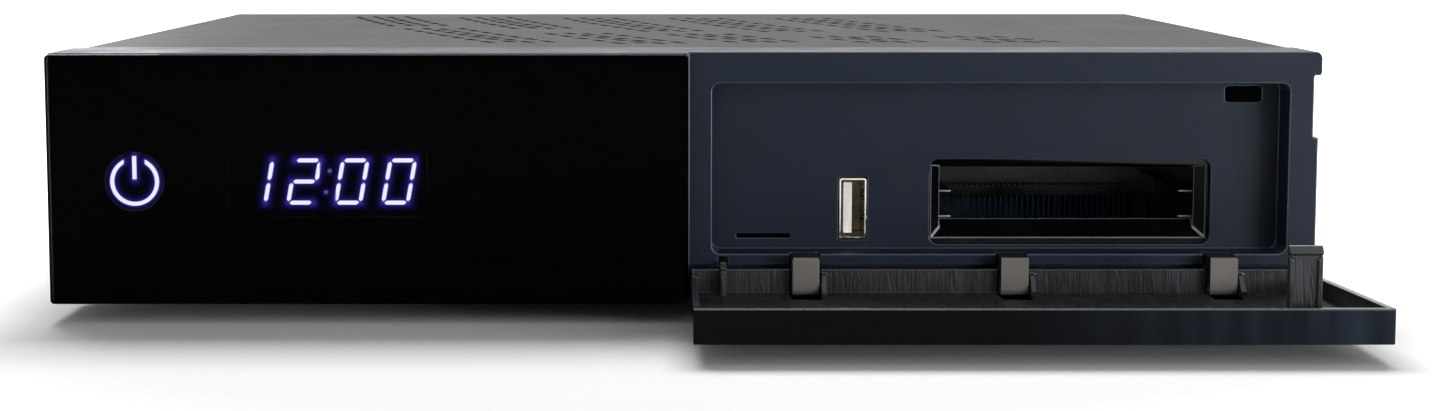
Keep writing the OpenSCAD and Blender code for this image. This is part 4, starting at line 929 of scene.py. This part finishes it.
def thread(radius, low, high, bore, pitch, depth, columns=36, per_turn=8):
    """A threaded tube along y. Outside, r = radius - depth * |1 - 2 frac(y / pitch - a / 2 pi)|, and the depth fades
    out over half a pitch at both ends. The rows then come back inside at the bore's radius, which closes the tube."""
    y = np.linspace(low, high, int((high - low) / pitch * per_turn))[:, None]
    a = angles(columns)
    wave = np.abs(1 - 2 * np.mod(y / pitch - a / (2 * math.pi), 1))
    ends = np.clip(np.minimum(y - low, high - y) / (pitch / 2), 0, 1)
    outside = round_y(radius - depth * (ends * wave + (1 - ends)), y, a)
    inside = turned([(high, bore + MOUTH), (high - MOUTH, bore), (low, bore)], columns)
    return surface(np.concatenate([outside, inside]), wrap_rows=True, wrap_columns=True)


def hex_nut(flat, low, high, bore, columns=72):
    """A six-sided nut along y, with r = flat / cos((a + 30) mod 60 - 30 degrees), whose corners are turned off at both
    faces."""
    a, (turn, step) = angles(columns), NUT_CHAMFER
    side = flat / np.cos(np.mod(a + math.pi / 6, math.pi / 3) - math.pi / 6)
    face = np.minimum(side, flat * turn)
    rows = [(low, face), (low + step, side), (high - step, side), (high, face), (high, bore), (low, bore)]
    return surface(np.stack([round_y(r, y, a) for y, r in rows]), wrap_rows=True, wrap_columns=True)


# heights and radii of a foot: its top, its side with a ring round it, its tread and the hollow under it
FOOT_PROFILE = [(0, 0), (0, 8.6), (-0.4, 9.0), (-1.2, 8.85), (-1.5, 8.5), (-1.8, 8.6), (-3.2, 8.2), (-3.7, 7.9),
                (-4, 7.3), (-4, 4.6), (-3.6, 4.2), (-2.2, 4.0), (-2.0, 3.6), (-2.0, 0)]


def islands(name):
    """Middle of each separate solid of a CAD node, n by 3 in millimetres of the case, in order of place. Corners that
    edges join are one solid's."""
    shape = bmesh.new()
    shape.from_mesh(NODES[name].data)
    bmesh.ops.remove_doubles(shape, verts=shape.verts, dist=CAD_DOUBLES)
    left, middles = set(shape.verts), []
    while left:
        group, new = set(), {left.pop()}
        while new:
            group |= new
            new = {edge.other_vert(vert) for vert in new for edge in vert.link_edges} - group
        left -= group
        at = np.array([vert.co for vert in group])
        middles.append(((at.min(0) + at.max(0)) / 2 - CASE) / MM)
    shape.free()
    return np.array(sorted(middles, key=tuple))


HEAD = (2.5, 1.6)  # radius and height of a screw's head
# node: finish, way of the head, radius and length of the shank, way from a screw's middle to under its head
SCREWS = {
    "cover_screws": ("screw_black", "y", 1.4, 3.8, (0, 1.1, 0)),
    "fascia_screws": ("screw_steel", "-z", 1.2, 2.8, (0, 0, -0.6)),
    "board_screws": ("screw_steel", "z", 1.4, 5.6, (0, 0, 2.0)),
    "display_screws": ("screw_steel", "y", 1.0, 4.6, (0, 1.5, 0)),
}


class RECEIVER_OT_fasteners(bpy.types.Operator):
    """Makes the cross-headed screws and the rubber feet"""
    bl_idname = "receiver.fasteners"
    bl_label = "Screws and feet"

    def execute(self, context):
        black = Finish("screw_black", linear(40, 40, 43), 0.4, metallic=0.6)
        finishes = {"screw_steel": plated("screw_steel", linear(186, 186, 184), 0.28, EVEN),
                    "screw_black": black.grain(0.3, 0.004).mottle(1.2, 0.15).sheen(0.8, 0.1).material}
        for node, (finish, way, shank_r, shank_l, step) in SCREWS.items():
            one = screw(*HEAD, shank_r, shank_l)
            points, faces = joined([placed(one, at + step, way) for at in islands(node)])
            new_piece(node.replace("screws", "screw_set"), mesh_of(node + "_turned", points, faces), "case", finish,
                      [finishes[finish]], [node], 35)
        foot = surface(turned(FOOT_PROFILE, 48, "z"), wrap_columns=True)
        points, faces = joined([(foot[0] + at * (1, 1, 0), foot[1]) for at in islands("rubber_feet")])
        rubber = Finish("foot_rubber", linear(24, 24, 25), 0.78, specular=0.3)
        rubber.grain(0.4, 0.02).mottle(4, 0.12).sheen(5, 0.08)
        new_piece("foot_set", mesh_of("feet_turned", points, faces), "case", "foot_rubber", [rubber.material],
                  ["rubber_feet"], 35)
        return {"FINISHED"}


THREAD_Y = (209.6, 222.0)
THREAD_R = 4.75
BORE_R = 3.55
NUT = (5.5, 211.0, 213.0, 4.15)  # half across its flats, two faces, radius of its bore


class RECEIVER_OT_aerials(bpy.types.Operator):
    """Turns the four threaded aerial connectors"""
    bl_idname = "receiver.aerials"
    bl_label = "Aerial connectors"

    def execute(self, context):
        sizes = context.scene.receiver_sizes
        tube = thread(THREAD_R, *THREAD_Y, BORE_R, sizes.thread_pitch / MM, sizes.thread_depth / MM)
        nut = hex_nut(*NUT)
        parts = [(p + at * (1, 0, 1), f) for at in islands("aerial_connectors") for p, f in (tube, nut)]
        nickel = plated("connector_metal", linear(212, 200, 176), 0.25, EVEN)
        new_piece("aerial_threads", mesh_of("threads_turned", *joined(parts)), "case", "connector_metal", [nickel],
                  ["aerial_connectors"], 30)
        dressed("aerial_cores", ["aerial_insulators"], "case", "insulator_white",
                [moulded("insulator_white", linear(226, 223, 214), 0.4, 0.5)], 0.2 * MM)
        return {"FINISHED"}


# ---- rear sockets and switch ----

ROCKER_TILT = math.radians(8)
ROCKER_AXIS = (108.0, 210.0, 24.0)
ROCKER_FACE = (3.0, 0.132)  # way of the rocker's face behind its axis, and how it rises to either end
MARK_OFFSET = 4.5
MARK_REACH = 1.7
MARK_BAR = 0.05
MARK_BEAD = 0.22  # radius of the bead


def mark(outline, columns=10):
    """A raised line on the rocker: a round bead carried along a closed outline of x and z. The bead's middle follows
    the rocker's two faces, y = face + rise |z|, and the whole is turned by the rocker's tilt about its axis."""
    x, z = np.array(outline).T
    tangent = np.roll([x, z], -1, axis=1) - np.roll([x, z], 1, axis=1)
    tangent = tangent / np.linalg.norm(tangent, axis=0)
    a, (face, rise) = angles(columns), ROCKER_FACE
    out_x = x[:, None] + MARK_BEAD * np.cos(a) * tangent[1][:, None]
    out_z = z[:, None] - MARK_BEAD * np.cos(a) * tangent[0][:, None]
    out_y = face + rise * np.abs(out_z) + MARK_BEAD / 2 * np.sin(a)
    cos, sin = math.cos(ROCKER_TILT), math.sin(ROCKER_TILT)
    turned_y, turned_z = out_y * cos - out_z * sin, out_y * sin + out_z * cos
    return surface(np.stack([out_x, turned_y, turned_z], axis=-1) + ROCKER_AXIS, wrap_rows=True, wrap_columns=True)


class RECEIVER_OT_rear(bpy.types.Operator):
    """Dresses the rear sockets, the shutter and the switch with its marks"""
    bl_idname = "receiver.rear"
    bl_label = "Rear sockets and switch"

    def execute(self, context):
        steel = plated("socket_steel", linear(200, 200, 198), 0.22)
        black = moulded("socket_black", linear(20, 20, 21), 0.42, 0.4)
        shutter = moulded("shutter_grey", linear(38, 38, 40), 0.4, 0.4)
        rocker = moulded("rocker_black", linear(16, 16, 17), 0.25, 0.5)
        for name, node, body, slot, material, edge in (
                ("hdmi_shell", "hdmi_socket", "case", "socket_steel", steel, 0.25),
                ("network_shell", "network_socket", "case", "socket_steel", steel, 0.25),
                ("usb_rear_sleeve", "usb_rear_shell", "case", "socket_steel", steel, 0.25),
                ("optical_socket_body", "optical_socket", "case", "socket_plastic", black, 0.3),
                ("audio_video_jack_body", "audio_video_jack", "case", "socket_plastic", black, 0.3),
                ("power_inlet_body", "power_inlet", "case", "socket_plastic", black, 0.3),
                ("power_switch_body", "power_switch", "case", "switch_plastic", black, 0.4),
                ("shutter_door", "optical_shutter", "shutter", "shutter_plastic", shutter, 0.12),
                ("rocker_cap", "power_rocker", "rocker", "rocker_plastic", rocker, 0.4)):
            dressed(name, [node], body, slot, [material], edge * MM)
        across, along = np.cos(angles(40)), MARK_REACH * np.sin(angles(40))
        ring = np.stack([MARK_REACH * across, along - MARK_OFFSET], axis=1)
        bar = np.stack([MARK_BAR * across, along + MARK_OFFSET], axis=1)
        white = moulded("mark_white", linear(225, 225, 222), 0.5, 0.4)
        new_piece("rocker_marks", mesh_of("marks", *joined([mark(ring), mark(bar)])), "rocker", "rocker_plastic",
                  [white], sharp=60)
        return {"FINISHED"}


# ---- everything else ----

USB_CONTACT_X = 35.69  # the tongue's contacts lie to the right of this
WIRE_PITCH = 1.27  # from wire to wire of the flat cables
WAVE_TURN = 2 * math.pi / 20  # a Wave texture has one band to this much of its scale


class RECEIVER_OT_inside(bpy.types.Operator):
    """Gives the boards, cans, front sockets and cables their finishes"""
    bl_idname = "receiver.inside"
    bl_label = "Inside"

    def execute(self, context):
        colours = context.scene.receiver_colours
        painted(plated("pan_steel", linear(150, 152, 154), 0.38), "base_pan")
        painted(lacquered("rear_paint", colours.cover), "rear_panel")
        painted(circuit_board("board", colours.board), "main_board", "display_board", "socket_board")
        painted(chip_epoxy("chip_epoxy", linear(22, 22, 24)), "processor", "memory_chips")
        painted(moulded("module_black", linear(9, 9, 10), 0.6, 0.2), "display_module")
        painted(moulded("receiver_lens", linear(40, 14, 30), 0.15, 0.5), "infrared_receiver")
        painted(plated("slot_steel", linear(60, 60, 62), 0.4), "card_slot_cover")
        # painted shade: the memory-card socket is kept dark, for the shade inside its slit
        painted(plated("card_socket_painted_shade", linear(58, 58, 60), 0.4), "memory_card_socket")
        # painted shade: the card slot's pins get a dark bluish colour for the shade and bluish light inside the slot,
        # in place of bright nickel
        painted(plated("contact_nickel_painted_shade", linear(24, 34, 54), 0.35, EVEN), "card_slot_pins")
        painted(moulded("ferrite", linear(60, 60, 62), 0.7, 0.3), "coils")
        painted(plated("can_steel", linear(185, 186, 186), 0.33), "tuner_can_left", "tuner_can_right")
        painted(plated("brass", linear(200, 168, 96), 0.3), "board_standoffs")
        steel = plated("usb_steel", linear(214, 210, 202), 0.18)
        dressed("usb_front_sleeve", ["usb_front_shell"], "case", "socket_steel", [steel], 0.3 * MM)
        tongue = moulded("tongue_white", linear(236, 233, 226), 0.4, 0.5)
        contacts = plated("contact_dark", linear(70, 62, 50), 0.3, EVEN)
        block = dressed("usb_front_block", ["usb_front_tongue"], "case", "tongue_white", [tongue, contacts], 0.1 * MM)
        parted(block, lambda middle, facing, area: middle[:, 0] > USB_CONTACT_X)
        dressed("usb_rear_blocks", ["usb_rear_tongues"], "case", "tongue_white", [tongue], 0.1 * MM)
        slot = moulded("card_frame", linear(5, 6, 8), 0.22, 0.22, grain=0.9, depth=0.006)
        # painted glints: the card frame's narrow rounds near the front get a pale, glossy copy of its colour
        glint = moulded("card_frame_painted_glints", linear(150, 154, 160), 0.2, 1.0, grain=0.9, depth=0.02)
        housing = dressed("card_slot_housing", ["card_slot_frame"], "case", "card_frame_plastic", [slot, glint],
                          0.35 * MM)
        parted(housing, rounded)
        sink = plated("sink_aluminium", linear(120, 122, 125), 0.45)
        dressed("heat_sink_fins", ["heat_sink"], "case", "sink_aluminium", [sink], 0.2 * MM)
        sleeve = moulded("capacitor_sleeve", linear(24, 30, 60), 0.3, 0.5)
        tops = plated("capacitor_top", linear(200, 200, 198), 0.35, EVEN)
        cans = dressed("capacitor_set", ["capacitors"], "case", "capacitor_sleeve", [sleeve, tops], 0.5 * MM)
        parted(cans, lambda middle, facing, area: facing[:, 2] > 0.5)
        ribbon = Finish("ribbon", linear(190, 190, 184), 0.5, specular=0.4)
        lanes = ribbon.add("ShaderNodeTexWave", {"Vector": ribbon.place, "Scale": WAVE_TURN / (WIRE_PITCH * MM)},
                           bands_direction="X").outputs["Fac"]
        ribbon.link(ribbon.blend(lanes, linear(150, 150, 145), linear(205, 205, 200)), "Base Color")
        painted(ribbon.bump(lanes, 0.2).sheen(3, 0.08).material, "display_cable", "socket_cable")
        spring = plated("spring_steel", linear(150, 150, 148), 0.3)
        dressed("latch_spring", ["latch_clip"], "case", "spring_steel", [spring], 0.1 * MM)
        return {"FINISHED"}


# ---- studio ----

CAMERA_AT = (-4.37, -483.1, 81.1)  # millimetres of the case
CAMERA_PITCH = 0.1014
CAMERA_FOCUS = 2312.0  # pixels of a picture of this width
PICTURE_WIDTH = 1440
SENSOR = 36.0
CAMERA_SHIFT = (0.0363, -0.035)
SKY_LEVEL = 0.3
FLOOR_HALF = 6  # metres
FLOOR_FADE = (0.18, 0.5)  # metres from the middle, over which the floor's own light rises from none to full
SIDE_FADE = (0.137, 0.2)  # and the same by the way to either side
# name, place, aim and size in metres, power in watts, colour
LAMPS = (
    ("softbox_above", (0.0, 0.55, 1.15), (0, 0, 0.03), (1.3, 0.6), 19.0, (1, 1, 1)),
    ("softbox_left", (-0.85, 1.5, 0.3), (0, 0, 0.05), (0.8, 0.3), 3.0, (0.94, 0.97, 1)),
    ("softbox_front", (0.95, -1.35, 0.42), (0, 0, 0.03), (0.6, 0.6), 5.2, (0.98, 0.99, 1)),
    ("strip_right", (0.52, -0.58, 0.06), (0.12, -0.1, 0.03), (0.3, 0.08), 2.1, (0.94, 0.96, 1)),
)


class RECEIVER_OT_studio(bpy.types.Operator):
    """Sets up the pale floor, the soft lamps and the camera"""
    bl_idname = "receiver.studio"
    bl_label = "Studio"

    def execute(self, context):
        scene, colours = context.scene, context.scene.receiver_colours
        self.floor(colours)
        self.sky(scene)
        for row in LAMPS:
            self.lamp(*row)
        camera = bpy.data.objects.new("camera", bpy.data.cameras.new("camera"))
        scene.collection.objects.link(camera)
        camera.location = np.array(CAMERA_AT) * MM + CASE
        camera.rotation_euler = (math.pi / 2 - CAMERA_PITCH, 0, 0)
        camera.data.sensor_width = SENSOR
        camera.data.lens = SENSOR * CAMERA_FOCUS / PICTURE_WIDTH
        camera.data.shift_x, camera.data.shift_y = CAMERA_SHIFT
        camera.data.clip_start, camera.data.clip_end = 0.02, 50
        scene.camera = camera
        scene.view_settings.view_transform = "Standard"
        return {"FINISHED"}

    def floor(self, colours):
        """A flat floor that keeps the receiver's shadow, and away from it shines white for the rays that are seen."""
        across = [-FLOOR_HALF, 0, FLOOR_HALF]
        points, faces = surface(np.stack(np.meshgrid(across, across, [0.0]), axis=-1).reshape(3, 3, 3))
        mesh = bpy.data.meshes.new("floor")
        mesh.from_pydata(points.tolist(), [], faces[:, ::-1].tolist())
        floor = bpy.data.objects.new("floor", mesh)
        bpy.context.scene.collection.objects.link(floor)
        finish = Finish("floor", colours.floor, 0.9, specular=0.0, Emission_Color=(1, 1, 1, 1))
        far = finish.add("ShaderNodeVectorMath", {0: finish.place}, operation="LENGTH").outputs["Value"]
        aside = finish.math("ABSOLUTE", finish.places()["X"])
        level = finish.math("MAXIMUM", finish.ranged(far, 0, 1, *FLOOR_FADE), finish.ranged(aside, 0, 1, *SIDE_FADE))
        finish.link(finish.math("MULTIPLY", finish.seen(), level), "Emission Strength")
        mesh.materials.append(finish.material)

    def sky(self, scene):
        """A dim sky that shows as white."""
        scene.world = bpy.data.worlds.new("studio")
        scene.world.use_nodes = True
        nodes = Nodes(scene.world.node_tree)
        sky = nodes.tree.nodes["Background"]
        sky.inputs["Color"].default_value = (1, 1, 1, 1)
        nodes.tree.links.new(nodes.ranged(nodes.seen(), SKY_LEVEL, 1, 0, 1), sky.inputs["Strength"])

    def lamp(self, name, place, aim, size, power, tint):
        data = bpy.data.lights.new(name, "AREA")
        data.shape = "RECTANGLE"
        data.size, data.size_y = size
        data.energy = power
        data.color = tint
        lamp = bpy.data.objects.new(name, data)
        bpy.context.scene.collection.objects.link(lamp)
        lamp.location = place
        lamp.rotation_euler = (Vector(aim) - Vector(place)).to_track_quat("-Z", "Y").to_euler()


PIECES = (RECEIVER_OT_cover, RECEIVER_OT_front, RECEIVER_OT_clock, RECEIVER_OT_flap, RECEIVER_OT_fasteners,
          RECEIVER_OT_aerials, RECEIVER_OT_rear, RECEIVER_OT_inside, RECEIVER_OT_studio)


class RECEIVER_PT_pieces(bpy.types.Panel):
    """Lists the receiver's pieces, sizes and colours"""
    bl_label = "Receiver"
    bl_idname = "RECEIVER_PT_pieces"
    bl_space_type = "VIEW_3D"
    bl_region_type = "UI"
    bl_category = "Receiver"

    def draw(self, context):
        for piece in PIECES:
            self.layout.operator(piece.bl_idname)
        for group in (context.scene.receiver_sizes, context.scene.receiver_colours):
            box = self.layout.box()
            for name in group.bl_rna.properties.keys():
                if name not in ("rna_type", "name"):
                    box.prop(group, name)


CLASSES = (ReceiverSizes, ReceiverColours, *PIECES, RECEIVER_PT_pieces)


def register():
    for kind in CLASSES:
        bpy.utils.register_class(kind)
    bpy.types.Scene.receiver_sizes = bpy.props.PointerProperty(type=ReceiverSizes)
    bpy.types.Scene.receiver_colours = bpy.props.PointerProperty(type=ReceiverColours)


def unregister():
    del bpy.types.Scene.receiver_colours, bpy.types.Scene.receiver_sizes
    for kind in reversed(CLASSES):
        bpy.utils.unregister_class(kind)


def main():
    register()
    for piece in PIECES:
        group, name = piece.bl_idname.split(".")
        getattr(getattr(bpy.ops, group), name)()


if __name__ == "__main__":
    main()
